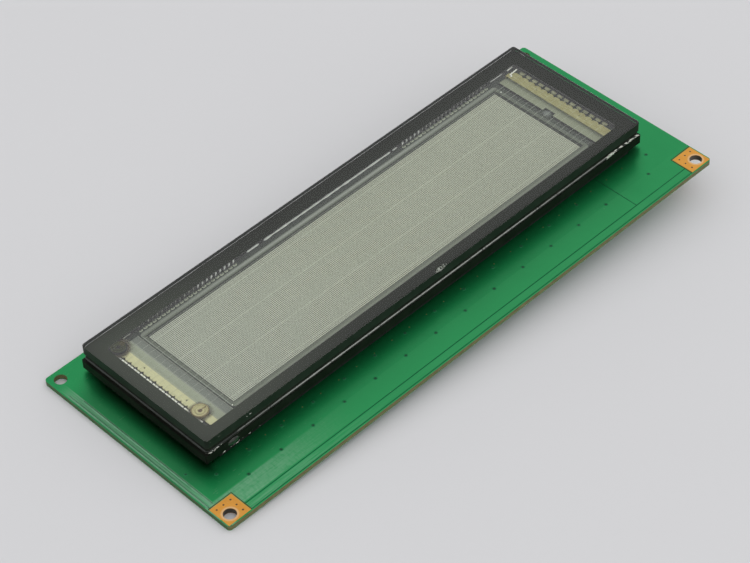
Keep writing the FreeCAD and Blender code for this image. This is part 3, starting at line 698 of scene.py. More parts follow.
def brushed_group():
    """Fine lines along one direction, as drawn, ground or rubbed surfaces have."""
    n, given, result = new_group("drawn_lines", "ShaderNodeTree", [
        ("Stretch", "Vector", (1.0, 20.0, 1.0)), ("Strength", "Float", 1.0)],
        [("Mask", "Float"), ("Height", "Float")])
    lines = n.noise(1.0, 5.0, 0.65, given["Stretch"])
    n.join(lines.span(0.42, 0.68) * given["Strength"], result["Mask"])
    n.join(lines * given["Strength"], result["Height"])
    return n.tree


GROUPS = {}


class Finish(Nodes):
    """A material with one Principled shader, fed by the shared groups."""

    def __init__(self, name, colour, roughness, tone=None, tone_share=0.35, patch=0.15, spread=0.08,
                 grain=3.0, bump=0.15, depth=0.02, metallic=0.0):
        self.material = bpy.data.materials.new(name)
        self.material.use_nodes = True
        super().__init__(self.material.node_tree)
        self.tree.nodes.clear()
        self.shader = self.add("ShaderNodeBsdfPrincipled", {"Metallic": metallic})
        self.output = self.add("ShaderNodeOutputMaterial", {"Surface": self.shader.outputs[0]})
        varied = self.group("variation", {
            "Colour": colour, "Tone": tone or shade(colour, 0.6), "Tone Share": tone_share, "Patch": patch,
            "Roughness": roughness, "Roughness Spread": spread, "Grain": grain})
        self.colour, self.roughness, self.height = varied.outputs
        self.bump, self.depth = bump, depth

    def group(self, key, inputs):
        return self.add("ShaderNodeGroup", inputs, node_tree=GROUPS[key])

    def axes(self):
        return self.parts(self.place())

    def paint(self, mask, colour):
        """Lays another colour over the finish where the mask is 1."""
        self.colour = self.mix(mask, self.colour, colour)

    def dust(self, scale, size, share, colour):
        self.paint(self.group("dust", {"Scale": scale, "Size": size, "Share": share}).outputs["Mask"], colour)

    def lines(self, stretch, strength, colour):
        drawn = self.group("brushed", {"Stretch": stretch, "Strength": strength})
        self.paint(drawn.outputs["Mask"], colour)
        self.height = self.math("ADD", self.height, drawn.outputs["Height"])

    def rougher(self, value):
        self.roughness = self.math("ADD", self.roughness, value, clamp=True)

    def drive(self, label, value):
        self.join(value, self.shader.inputs[label])

    def close(self, specular=None, coat=None, coat_roughness=None):
        """Joins what the groups gave to the shader and returns the material."""
        if self.bump:
            bump = self.add("ShaderNodeBump", {"Strength": self.bump, "Distance": self.depth * MM,
                                               "Height": self.height})
            self.drive("Normal", bump.outputs["Normal"])
        for label, value in (("Base Color", self.colour), ("Roughness", self.roughness), ("Coat Weight", coat),
                             ("Specular IOR Level", specular), ("Coat Roughness", coat_roughness)):
            self.drive(label, value)
        return self.material


def plain(name, colour, roughness, specular=None, **more):
    """A finish with no masks of its own."""
    return Finish(name, colour, roughness, **more).close(specular)


# Finishes of the board

def board_finish(s):
    """Green solder resist with rubbed bands, a painted lit band along the front, painted shade beside the tube's
    left end, plated hole walls and bare laminate on the cut edges.
    """
    f = Finish("solder_resist", s.mask, 0.40, tone=s.mask_dark, tone_share=0.5, patch=0.05, spread=0.05,
               grain=2.2, bump=0.06)
    x, y, z = f.axes()
    along, across = x - BOARD_LOW.x / MM, y - BOARD_LOW.y / MM
    top = z > (BOARD_TOP + BOARD_UNDER) / 2 / MM

    # Painted light: a lighter band along the front edge up to a straight line at y 9, fading at the right end where
    # the edge of the tube's shadow turns.
    painted_light_band = across.fall(8.9, 9.15) * along.span(150.5, 156.0, 1.0, 0.35) * top
    f.paint(painted_light_band * 0.7, (0.025, 0.335, 0.104))
    streaks = f.noise(1.0, 5.0, 0.75, (0.10, 2.6, 1.0))
    cross = f.noise(1.0, 4.0, 0.7, (1.6, 0.5, 1.0))
    scuffed = (across.band(3.3, 8.7, 0.25) * along.fall(7.5, 50.0, 0.8) * streaks.span(0.28, 0.62, 0.35, 1.0)
               * cross.span(0.3, 0.6, 0.55, 1.0))
    low_rub = across.band(0.35, 2.5, 0.2) * along.span(7.5, 60.0, 0.5, 0.05) * streaks.span(0.35, 0.62)
    rubs = f.noise(1.0, 5.0, 0.75, (3.4, 0.05, 1.0))
    side = along.band(0.3, 2.6, 0.12) * rubs.span(0.34, 0.60, 0.25, 0.85) * across.fall(58.0, 66.0)
    worn = scuffed.most(low_rub).most(side) * top
    f.paint(worn, (0.20, 0.45, 0.27))
    scratches = f.noise(1.0, 2.0, 0.5, (0.35, 7.0, 1.0)).span(0.70, 0.74)
    f.paint(scratches * along.span(60.0, 8.0) * top * 0.55, (0.30, 0.45, 0.33))
    groove = along.band(0.65, 0.95, 0.1) * across.span(30.0, 52.0, 0.85, 0.1) * top
    f.paint(groove, (0.02, 0.10, 0.075))
    # Painted shade: the resist is darkened beside the tube's left end and round its front left corner, where the
    # tube's shade falls.
    painted_tube_shade = (along.span(9.6, 4.6, 0.80, 0.27) * along.fall(9.0, 11.5) * across.span(12.5, 20.0)
              * across.fall(55.0, 64.0) * top)
    f.paint(painted_tube_shade, (0.001, 0.012, 0.002))
    f.rougher(worn * 0.1)
    f.dust(0.35, 0.03, 0.2, (0.22, 0.36, 0.25))

    normal = f.add("ShaderNodeNewGeometry").outputs["Normal"]
    cut_edge = abs(f.parts(normal)[2]) < 0.5
    layers = f.noise(1.0, 3.0, 0.6, (0.4, 0.4, 9.0)).span(0.35, 0.65)
    laminate = f.mix(layers, s.laminate, shade(s.laminate, 0.45))
    laminate = f.mix((along < 0.05) * 0.75, laminate, (0.02, 0.09, 0.03))
    between_skins = z.band(BOARD_UNDER / MM + 0.10, BOARD_TOP / MM - 0.10, 0.03)
    f.paint(cut_edge, f.mix(between_skins, s.mask_dark, laminate))
    plated = (f.distance(abs(x) - HOLE_X, y + HOLE_Y) < 2.0) * cut_edge
    f.paint(plated, (0.10, 0.085, 0.065))
    over_copper = (1.0 - worn * 0.5) * 0.99 * (1.0 - cut_edge)
    f.drive("Metallic", f.math("ADD", plated, over_copper, clamp=True))
    f.rougher((cut_edge - plated) * 0.45)
    return f.close(specular=0.055, coat=0.35, coat_roughness=0.2)


def gold_finish(s):
    """Satin gold plating with a paler, burnished ring round each screw hole."""
    f = Finish("gold_plating", s.gold, 0.40, tone=(0.66, 0.30, 0.05), tone_share=0.4, patch=0.35, grain=5.0,
               metallic=1.0)
    x, y, z = f.axes()
    f.paint(f.distance(abs(x) - HOLE_X, y + HOLE_Y).band(1.7, 2.25, 0.2) * 0.55, (0.86, 0.66, 0.42))
    f.lines((6.0, 0.4, 1.0), 0.35, (0.86, 0.50, 0.14))
    f.dust(1.2, 0.05, 0.2, (0.85, 0.7, 0.4))
    return f.close()


# Finishes of the tube

def clear_glass(tint):
    """Polished glass that bends light and lets lamps and soft light through to what it covers."""
    f = Finish("front_glass_clear", tint, 0.0, tone=shade(tint, 0.98), tone_share=0.3, patch=0.03, spread=0.0,
               grain=0.35, bump=0.0)
    f.shader.inputs["Transmission Weight"].default_value = 1.0
    f.shader.inputs["IOR"].default_value = 1.5
    material = f.close()
    clear = f.add("ShaderNodeBsdfTransparent", {"Color": tint})
    path = f.add("ShaderNodeLightPath").outputs
    either = f.math("MAXIMUM", path["Is Shadow Ray"], path["Is Diffuse Ray"])
    blend = f.add("ShaderNodeMixShader", {0: either, 1: f.shader.outputs[0], 2: clear.outputs[0]})
    f.join(blend.outputs[0], f.output.inputs["Surface"])
    return material


def films_finish(s):
    """Printed films and insulating layers on the base glass, zone by zone along the tube."""
    f = Finish("printed_films", s.floor, 0.6, tone=shade(s.floor, 0.8), tone_share=0.4, patch=0.25, bump=0.08,
               depth=0.01)
    x, y, z = f.axes()
    across = y - TUBE_MIDDLE
    round_hole = x - (abs(across) - 1.75).fall(0.0, 0.12, 1.15)
    inside = across.band(-19.6, 18.4, 0.1)
    for value, low, high, colour in (
            (x, -71.1, -68.2, s.strip), (x, -68.2, -65.6, s.zone), (x, 65.4, 67.55, s.zone_right),
            (round_hole, 67.5, 68.3, s.gap), (round_hole, 68.3, 73.2, s.strip_right)):
        f.paint(value.band(low, high, 0.06) * inside, colour)
    f.paint(f.distance(x - 67.95, across).fall(0.5, 1.6, 0.75), under_glass(116, 121, 118))
    border = x.band(-68.3, -67.9, 0.08).most(x.band(-65.9, -65.55, 0.06)) * inside
    f.paint(border * 0.5, under_glass(160, 163, 152))
    rungs = f.math("PINGPONG", across + 18.96, WIRE_PITCH / 4)
    f.paint(rungs.fall(0.0, 0.14) * x.band(65.5, 67.4, 0.05) * inside * 0.30, under_glass(150, 154, 146))
    fan = x.band(-68.1, -65.7, 0.05).most(x.band(65.6, 67.4, 0.05))
    f.paint(f.math("PINGPONG", x, 0.18).fall(0.0, 0.07) * fan * inside * 0.18, under_glass(70, 74, 74))
    f.paint(f.noise(6.0, 3.0, 0.6).span(0.55, 0.75) * 0.12, under_glass(176, 178, 160))
    return f.close(specular=0.1)


def grid_finish(s):
    """Etched foil: a painted highlight on the crown of the back rim, a paler strip on the front rim, darker end
    rims, and bars that vanish in the dots.
    """
    f = Finish("grid_metal", s.grid, 0.55, tone=shade(s.grid, 0.75), tone_share=0.3, patch=0.12, grain=5.0,
               bump=0.1, depth=0.01)
    x, y, z = f.axes()
    across, away, back = abs(y - TUBE_MIDDLE), abs(x), y > TUBE_MIDDLE
    # Painted highlight: a bright band along the back rim, standing in for the light on a rounded rim, fading towards
    # the ends.
    painted_crown_highlight = across.span(16.6, 17.35) * across.span(17.4, 18.0, 1.0, 0.25) * back
    f.paint(painted_crown_highlight * away.span(20.0, 66.0, 1.0, 0.55), under_glass(138, 142, 135))
    f.paint(across.span(17.0, 17.6) * (1.0 - back) * 0.8, under_glass(118, 123, 112))
    f.paint(away.band(64.9, 65.7, 0.02) * across.fall(16.4, 16.8), under_glass(95, 100, 92))
    f.paint(x.band(-65.5, -65.3, 0.04) * across.fall(16.4, 17.0) * 0.6, under_glass(150, 154, 146))
    bars = away.fall(64.4, 64.5) * across.fall(16.4, 16.5)
    f.paint(bars, under_glass(150, 155, 141))
    f.drive("Alpha", 1.0 - bars * 0.96)
    return f.close(specular=0.25)


def support_finish(s):
    """Satin nickel strip, cream in the light, with darker hook tips and punched edges."""
    f = Finish("support_metal", s.support, 0.5, tone=shade(s.support, 0.82), patch=0.2, grain=4.0, bump=0.12)
    x, y, z = f.axes()
    away, right = abs(x), x > 0.0
    left = 1.0 - right
    f.paint(right, s.support_right)
    f.paint(away.span(73.9, 74.1) * right * 0.85, under_glass(118, 120, 100))
    f.paint(away.band(73.75, 74.15, 0.08) * 0.55, under_glass(70, 70, 58))
    f.paint(z.fall(13.95, 14.6, 0.7), under_glass(80, 80, 66))
    f.lines((2.0, 0.3, 1.0), 0.25, under_glass(205, 203, 165))
    wires = f.math("PINGPONG", y - TUBE_MIDDLE + 10.5 * WIRE_PITCH, WIRE_PITCH / 2)
    notch = (0.5 - wires) * -0.9 + 74.10
    groove = away.band(74.10, 74.42, 0.05).most((away > notch) * (away < 74.18)) * left
    f.paint(groove * 0.8, under_glass(84, 86, 72))
    f.paint((away < 71.35) * left, under_glass(150, 153, 134))
    return f.close(specular=0.3)


def getter_finish(name, centre_y, pan, ring, core, spot=None):
    """A pressed pan seen from above: rim, ring line, pan, dark centre and keyhole slot."""
    f = Finish(name, pan, 0.42, tone=shade(pan, 0.7), tone_share=0.4, patch=0.4, grain=5.0, bump=0.2, depth=0.03)
    x, y, z = f.axes()
    aside, ahead = x + GETTER_X, y - centre_y
    reach = f.distance(aside, ahead) + (f.noise(1.5, 2.0, 0.5) - 0.5) * 0.35
    f.paint(reach.band(2.0, 2.6, 0.12), ring)
    f.paint(reach.band(1.1, 1.35, 0.1) * 0.5, ring)
    f.paint(reach.fall(0.35, 0.75), core)
    f.paint(ahead.band(-0.22, 0.22, 0.08) * aside.band(0.0, 2.0, 0.1) * 0.7, core)
    if spot:
        f.paint(aside.band(0.9, 2.2, 0.3) * ahead.band(-0.4, 1.0, 0.35) * 0.6, spot)
    return f.close(specular=0.1 if spot else 0.5)


def mirror_finish(name, centre_y, reach, strength):
    """The cloudy film that a getter leaves, thinner away from its centre."""
    f = Finish(name, (0.12, 0.10, 0.065), 0.4, tone=(0.07, 0.055, 0.035), tone_share=0.5, patch=0.4, bump=0.0)
    x, y, z = f.axes()
    away = f.distance(x + GETTER_X, y - centre_y) + (f.noise(0.6, 3.0, 0.6) - 0.5) * 1.6
    f.drive("Alpha", away.fall(2.2, reach, strength))
    return f.close(specular=0.1)


# Operators

class Piece(bpy.types.Operator):
    """What all makers of pieces share"""

    bl_options = {"REGISTER", "UNDO"}


class MakeBoard(Piece):
    """Finish the circuit board: resist, tracks, vias and plated pads"""

    bl_idname = "display.make_board"
    bl_label = "Circuit board"

    def execute(self, context):
        s = context.scene.display_board
        give(board_finish(s), "circuit_board")
        give(gold_finish(s), "ground_pads")
        self.lines()
        self.vias(s)
        return {"FINISHED"}

    def lines(self):
        """Gaps in the copper, the two edge tracks and the bare line round each ground pad."""
        gap = plain("resist_over_gap", (0.012, 0.165, 0.062), 0.46, 0.06, grain=2.0, metallic=0.95)
        edge = Finish("resist_on_track", (0.17, 0.38, 0.23), 0.5, tone=(0.05, 0.26, 0.12), tone_share=0.6,
                      patch=0.6, metallic=0.6)
        edge.lines((4.0, 0.06, 1.0), 0.9, (0.20, 0.36, 0.24))
        bare = plain("bare_laminate", (0.075, 0.065, 0.025), 0.6, 0.1, tone=(0.03, 0.05, 0.02), grain=4.0)
        gaps = [[(7.6, 2.8), (170.9, 2.8)], [(150.9, 2.8), (150.9, 17.6)], [(7.6, 0.42), (170.9, 0.42)]]
        edges = [[(0.72, 8.4), (0.72, 61.0)], [(2.15, 8.4), (2.15, 57.0)]]
        pads = [[(abs(side - x), y) for x, y in ((0.25, 7.8), (7.75, 7.8), (7.75, 0.3))]
                for side in (0.0, BOARD_LENGTH)]
        for name, paths, width, height, material, corner in (
                ("board_gaps", gaps, 0.25, 0.012, gap, 0.0),
                ("board_edge_tracks", edges, 0.62, 0.014, edge.close(0.1), 0.35),
                ("pad_outlines", pads, 0.3, 0.013, bare, 0.0)):
            paths = [[on_board(x, y) for x, y in path] for path in paths]
            tracks(name, paths, BOARD_TOP, width, height, material, corner)

    def vias(self, s):
        """Vias under the resist on both sides, test dots, and the open vias of the ground pads."""
        r, h = 1.35 * s.via_radius / MM, s.track_height / MM
        places = [(14.7 + 10.9 * k, 9.0) for k in range(13)] + [(9.2 + 10.9 * k, 14.7) for k in range(13)]
        places += [(3.9, 20.1), (162.4, 8.6), (167.8, 14.2)]
        points = [on_board(x, y, z) for z in (BOARD_TOP, BOARD_UNDER) for x, y in places]
        ring = turned([(0, 0.2 * h), (0.35 * r, 0.25 * h), (0.55 * r, h), (0.85 * r, h), (r, 0), (r, -h),
                       (0, -h)], 10)
        tented = plain("tented_via", (0.024, 0.22, 0.082), 0.4, 0.3, tone=(0.008, 0.12, 0.045), grain=4.0,
                       metallic=0.8)
        copies("board_vias", ring, points, tented, seed=3)
        pit = turned([(0, 1.25 * h), (0.5 * r, 1.2 * h), (0.56 * r, 0.9 * h), (0, 0.4 * h)], 10)
        plug = plain("via_centre", (0.008, 0.075, 0.03), 0.4, 0.2, tone=(0.004, 0.03, 0.012), grain=4.0)
        copies("via_centres", pit, points, plug, seed=3)

        dot = turned([(0, h), (0.12, h), (0.17, 0), (0.17, -h), (0, -h)], 8)
        tan = plain("test_dot", (0.14, 0.16, 0.055), 0.5, 0.2, tone=(0.05, 0.10, 0.03), grain=4.0)
        points = [on_board(19.9 + 6.33 * k, 15.4, BOARD_TOP) for k in range(23)]
        copies("board_test_dots", dot, points, tan, spread=0.1, seed=5)

        hole = turned([(0, 0.002), (0.22, 0.006), (0.26, 0), (0.26, -h), (0, -h)], 10)
        left = [(6.1, 6.2), (3.8, 6.2), (1.6, 6.2), (6.1, 4.0), (6.1, 1.7)]
        places = left + [(BOARD_LENGTH - x, y) for x, y in left]
        points = [on_board(x, y, z) for z in (PAD_HIGH.z, PAD_LOW.z) for x, y in places]
        bore = plain("via_bore", (0.05, 0.025, 0.01), 0.5, grain=5.0)
        copies("pad_vias", hole, points, bore, spread=0.05, seed=7)


class MakeWiring(Piece):
    """Run the tracks under the board, print its outlines and solder its joints"""

    bl_idname = "display.make_wiring"
    bl_label = "Wiring under the board"

    def execute(self, context):
        s = context.scene.display_board
        self.runs(s)
        self.outlines(s)
        self.joints(s)
        return {"FINISHED"}

    def runs(self, s):
        """Bundles of fine tracks from package to package and a few wide power tracks."""
        over = plain("track_under_resist", (0.065, 0.47, 0.18), 0.5, 0.2, tone=(0.045, 0.40, 0.14),
                     tone_share=0.5, patch=0.2, grain=2.5, metallic=0.9)
        height = s.track_height / MM
        to_header, to_memory, left_leads, to_logic, right_leads = [], [], [], [], []
        for k in range(16):
            pin = -6.75 - PACKAGE_PITCH * k
            lead = LEAD_START + LEAD_PITCH * k
            left_leads.append(bent(-lead, PIN_Y, 25.2 - 0.55 * k, pin, 10.6, 1.0))
            if k < 10:
                to_header.append(bent(70.6 + 0.8 * k, -10.6, -19.6 - 0.7 * k, pin, -6.6, 1.2))
                start, end = 2.0 + PACKAGE_PITCH * (k - 4.5), 6.0 + SMALL_PITCH * (k - 4.5)
                to_memory.append([(-4.2, start), (-2.6, start), (1.6, end), (3.3, end)])
                end = 11.7 - SMALL_PITCH * k
                path = bent(lead, PIN_Y, 27.6 - 0.5 * k, 17.0 + 0.6 * k, end + 0.6, 1.0)
                right_leads.append(path + [(path[-1][0] - 0.6, end), (15.2, end)])
            if k < 6:
                to_logic.append(bent(-(LEAD_START + LEAD_PITCH * (16 + k)), PIN_Y, 13.4 - 0.6 * k,
                                     -32.305 - SMALL_PITCH * k, 6.2, 1.0))
        fine = to_header + to_memory + left_leads + to_logic + right_leads
        tracks("under_tracks", [in_metres(*path) for path in fine], BOARD_UNDER, 0.28, height, over, 0.35)
        wide = [[(57.25, 12.5), (57.25, 25.5), (49.25, 25.5), (49.25, 22.0)],
                [(59.75, 12.5), (59.75, 27.5), (39.25, 27.5), (39.25, 22.0)],
                [(62.25, 12.5), (66.5, 8.0), (66.5, -16.5), (24.0, -16.5)],
                [(36.0, 6.0), (33.6, 6.0)], [(36.0, -4.0), (33.6, -4.0)],
                [(54.6, 2.0), (53.0, 2.0), (53.0, -5.0), (54.6, -5.0)],
                [(54.6, -12.0), (50.0, -14.2), (24.0, -14.2)]]
        tracks("power_tracks", [in_metres(*path) for path in wide], BOARD_UNDER, 1.5, 0.9 * height, over, 1.0)

    def outlines(self, s):
        """Printed outlines round the parts, with no words."""
        ink = plain("printed_ink", s.ink, 0.7, 0.2, tone=(0.55, 0.57, 0.52), tone_share=0.5, patch=0.4,
                    grain=5.0, bump=0.2, depth=0.01)
        transistors = (-12.0, -5.0, 2.0)
        boxes = [(-22.4, -7.6, -3.1, 11.6), (2.6, -1.4, 15.9, 13.4), (-42.9, -0.9, -30.6, 6.9),
                 (36.2, -9.8, 53.3, 11.9), (54.1, 8.9, 65.4, 16.1), (69.2, -10.7, 79.3, 23.6),
                 (-9.1, -15.6, 3.6, -9.4), (13.6, -18.7, 22.9, -9.3), (23.7, 2.3, 35.2, 9.6),
                 (23.7, -7.6, 35.2, -0.3), *((55.1, y - 1.9, 61.4, y + 1.9) for y in transistors)]
        paths = [rectangle(*box) + [box[:2]] for box in boxes]
        paths += [[(56.6, y - 1.9), (56.6, y + 1.9)] for y in transistors]
        paths += [circle(x, 18.5, 4.75, 24) + [(x + 4.75, 18.5)] for x in (39.25, 49.25)]
        tracks("printed_outlines", [in_metres(*path) for path in paths], BOARD_UNDER, 0.18, 0.015, ink)

    def joints(self, s):
        """Solder at every lead and pin."""
        solder = plain("solder", s.solder, 0.25, tone=(0.38, 0.38, 0.38), tone_share=0.5, patch=0.6, grain=4.0,
                       bump=0.25, depth=0.03, metallic=1.0)
        cone = turned([(0, 0.55), (0.22, 0.52), (0.32, 0.30), (0.52, 0.12), (0.80, 0.03), (0.80, -0.02),
                       (0, -0.02)], 14)
        points = (pin_centres(BOARD_UNDER, "lead_pins_left", "lead_pins_right", "filament_leads")
                  + pin_centres(BOARD_TOP, "header_pins", "power_pins", "transformer_pins"))
        copies("pin_solder", cone, points, solder, spread=0.08, seed=13)
        feet = foot_solder(0.13 * MM, 0.14 * MM, "controller_leads", "memory_leads", "logic_leads")
        dress("lead_solder", feet, solder)
        ends = foot_solder(0.28 * MM, 0.18 * MM, "transistor_tabs", "diode_straps", "inductor_terminals",
                           "chip_ends")
        dress("terminal_solder", ends, solder)


class MakeTube(Piece):
    """Finish the glass tube: plates, side glass, fused seals and the dark border"""

    bl_idname = "display.make_tube"
    bl_label = "Glass tube"

    def execute(self, context):
        s = context.scene.display_tube
        give(clear_glass(s.tint), "front_glass")
        give(plain("seal_frit", (0.022, 0.024, 0.02), 0.5, 0.4, tone=(0.05, 0.055, 0.045), tone_share=0.5,
                   patch=0.5, grain=2.5, bump=0.4, depth=0.05), "lower_seal")
        give(plain("side_glass", (0.012, 0.014, 0.011), 0.16, 0.04, tone=(0.03, 0.033, 0.026), tone_share=0.6,
                   patch=0.3, spread=0.05, grain=0.8, bump=0.45, depth=0.12), "spacer_frame", "exhaust_seal")
        give(plain("base_glass_dark", (0.007, 0.008, 0.006), 0.10, 0.04, tone=(0.016, 0.018, 0.014),
                   tone_share=0.5, patch=0.12, spread=0.03, grain=0.5, bump=0.35, depth=0.12), "base_glass")
        give(plain("foam_tape", (0.010, 0.010, 0.010), 0.92, 0.2, tone=(0.025, 0.025, 0.025), tone_share=0.6,
                   patch=0.4, grain=5.0, bump=0.7, depth=0.12), "foam_tape")
        self.edge()
        self.border(s)
        self.bead(s)
        self.marks()
        self.splinters()
        return {"FINISHED"}

    def edge(self):
        """The ground skin on the front glass's sides, lower where the long edge is chipped."""
        ground = plain("ground_edge", (0.013, 0.016, 0.013), 0.38, 0.12, tone=(0.026, 0.032, 0.026),
                       tone_share=0.5, patch=0.25, grain=1.2, bump=0.3, depth=0.05)
        skin = frame_plate(glass_outline(0.02 * MM), glass_outline(-0.01 * MM), SEAL_HIGH.z + 0.02 * MM,
                           GLASS_HIGH.z - 0.36 * MM)
        middle, above, radius = (part * MM for part in (CHIP_X, CHIP_ABOVE, CHIP_RADIUS))
        for vert in skin.vertices:
            aside = vert.co.x - middle
            if vert.co.y < GLASS_LOW.y + 0.1 * MM and abs(aside) < radius - above:
                scoop = GLASS_HIGH.z + above - math.sqrt(radius ** 2 - above ** 2 - aside ** 2) - 0.03 * MM
                vert.co.z = min(vert.co.z, scoop)
        dress("ground_edge", skin, ground)

    def border(self, s):
        """The black border round the window, which is the upper seal itself, with a painted reflection towards the
        left end.
        """
        f = Finish("fused_frit", s.frit, 0.9, tone=shade(s.frit, 0.85), tone_share=0.4, patch=0.03, grain=1.2,
                   bump=0.0)
        # Painted reflection: the frit is painted lighter towards the left end, where the glass over it reflects more
        # light.
        f.paint(f.axes()[0].fall(-74.0, -20.0, 0.9), shade(s.frit, 2.6))
        outer = seal_outline(0.05 * MM, 0.5 * MM, 1.2 * MM, 0.06 * MM, 11)
        ring = frame_plate(outer, facing_outline(s.border, outer), SEAL_LOW.z, SEAL_HIGH.z + s.bite)
        border = dress("window_border", ring, f.close(specular=0.0))
        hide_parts("upper_seal")

    def bead(self, s):
        """The fused bead under the front glass, with painted glints in broken lines on its upper side."""
        f = Finish("fused_bead", (0.012, 0.016, 0.012), 0.15, tone=(0.03, 0.035, 0.03), tone_share=0.5,
                   patch=0.4, grain=2.0, bump=0.3, depth=0.05)
        x, y, z = f.axes()
        # Painted highlight: the upper side of the bead is painted pale and metallic in broken stretches, weaker
        # towards both ends.
        breaks = f.noise(1.0, 4.0, 0.8, (0.9, 0.2, 0.2)).span(0.34, 0.44, 0.15, 1.0)
        lit = y.span(-16.2, -16.6) * x.band(-69.5, 69.5, 0.6) * breaks
        lit = lit * x.span(-60.0, -45.0, 0.45, 1.0) * x.span(20.0, 62.0, 1.0, 0.55)
        painted_shine = lit * z.span(14.50, 14.84) * 0.42
        f.paint(painted_shine, s.painted_glint)
        f.drive("Metallic", painted_shine)
        path = at_height(seal_outline(0.24 * MM, 0.8 * MM, 1.0 * MM, 0.0, 3), BEAD_Z * MM)
        dress("fused_bead", bead(path, 0.24 * MM, 23, closed=True, rough=0.18), f.close(specular=0.5))

    def marks(self):
        """The chipped place on the front glass's long edge and a lump of sealing glass near the left end."""
        f = Finish("chipped_glass", (0.42, 0.45, 0.40), 0.3, tone=(0.12, 0.14, 0.11), tone_share=0.8, patch=1.2,
                   grain=5.0, bump=0.4, depth=0.05, metallic=0.3)
        f.drive("Alpha", f.noise(1.6, 3.0, 0.6).span(0.42, 0.55))
        shell = turned([(0, 0.05), (0.6, 0.04), (1.0, 0.0), (0.6, -0.03), (0, -0.04)], 20, (2.1, 0.55, 1.0))
        shell.transform(Matrix.Translation((2.3 * MM, GLASS_LOW.y + 0.42 * MM, GLASS_HIGH.z - 0.36 * MM)) @
                        Matrix.Rotation(math.radians(40), 4, "X"))
        dress("front_chip", shell, f.close(specular=0.5))
        dark = plain("glass_lump", (0.015, 0.017, 0.013), 0.12, 0.5, tone=(0.05, 0.055, 0.045), tone_share=0.5,
                     patch=0.8, bump=0.5, depth=0.1)
        lump = turned([(0, 1.0), (0.55, 0.85), (0.9, 0.45), (1.0, 0.0), (0.9, -0.45), (0.55, -0.85),
                       (0, -1.0)], 16, (1.9, 0.55, 1.1))
        lump.transform(Matrix.Translation((-71.3 * MM, BASE_LOW.y + 0.1 * MM, 12.7 * MM)))
        dress("sealing_lump", lump, dark)

    def splinters(self):
        """Small splinters of clear glass along the front edge, and larger ones at the right corner; their pale
        colour is a painted highlight.
        """
        # Painted highlight: the splinters are painted pale and partly metallic, for the glints on the chipped edges.
        clear = plain("glass_splinter", (0.86, 0.87, 0.80), 0.18, tone=(0.30, 0.31, 0.25), tone_share=0.7,
                      patch=1.5, grain=6.0, bump=0.3, depth=0.05, metallic=0.3)
        chance = random.Random(31)
        front = GLASS_LOW.y + 0.05 * MM
        edge = ((-78.5, -73.5, 18.0, 9), (-67.0, -61.5, 17.7, 6), (-79.0, -74.0, 14.35, 7),
                (-74.5, -58.5, 11.35, 12))
        corner = ((66.3, 70.2, 14.75, 16), (70.6, 79.0, 14.6, 9))
        for name, rows, size, seed in (("edge_splinters", edge, 1.1, 17), ("corner_splinters", corner, 1.9, 67)):
            points, turns = [], []
            for x0, x1, z, count in rows:
                for _ in range(count):
                    points.append((chance.uniform(x0, x1) * MM, front + chance.uniform(0.0, 0.12) * MM,
                                   (z + chance.uniform(-0.25, 0.25)) * MM))
                    turns.append(tuple(chance.uniform(-most, most) for most in (0.5, 0.6, 0.15)))
            copies(name, splinter(), points, clear, turns=turns, size=size * MM, spread=0.45,
                   seed=seed)


class MakeDots(Piece):
    """Lay the field of phosphor dots on its dark plate"""

    bl_idname = "display.make_dots"
    bl_label = "Phosphor dots"

    def execute(self, context):
        s = context.scene.display_dots
        give(plain("dot_ground", s.ground, 0.7, 0.1, grain=4.0, bump=0.2), "anode_plate")
        f = Finish("phosphor", s.phosphor, 0.85, tone=shade(s.phosphor, 0.93), tone_share=0.4, patch=0.05,
                   grain=8.0, bump=0.1, depth=0.01)
        x, y, z = f.axes()
        f.paint(x.fall(-64.0, 5.0) * 0.55, s.phosphor_cool)
        weave = f.noise(1.0, 1.0, 0.5, (2.1, 0.02, 1.0))
        f.paint(weave.span(0.35, 0.65, 0.0, 0.10), shade(s.phosphor, 0.6))
        phosphor = f.close(specular=0.1)
        mesh = grown(bpy.data.meshes.new("host"), TREES["lattice"], Columns=s.columns, Rows=s.rows,
                     Pitch=s.pitch, Block=(s.side, s.side, s.rise), Centre=(0.0, TUBE_Y, ANODE_TOP + s.rise / 2),
                     Material=phosphor)
        dress("phosphor_dots", mesh, phosphor)
        return {"FINISHED"}


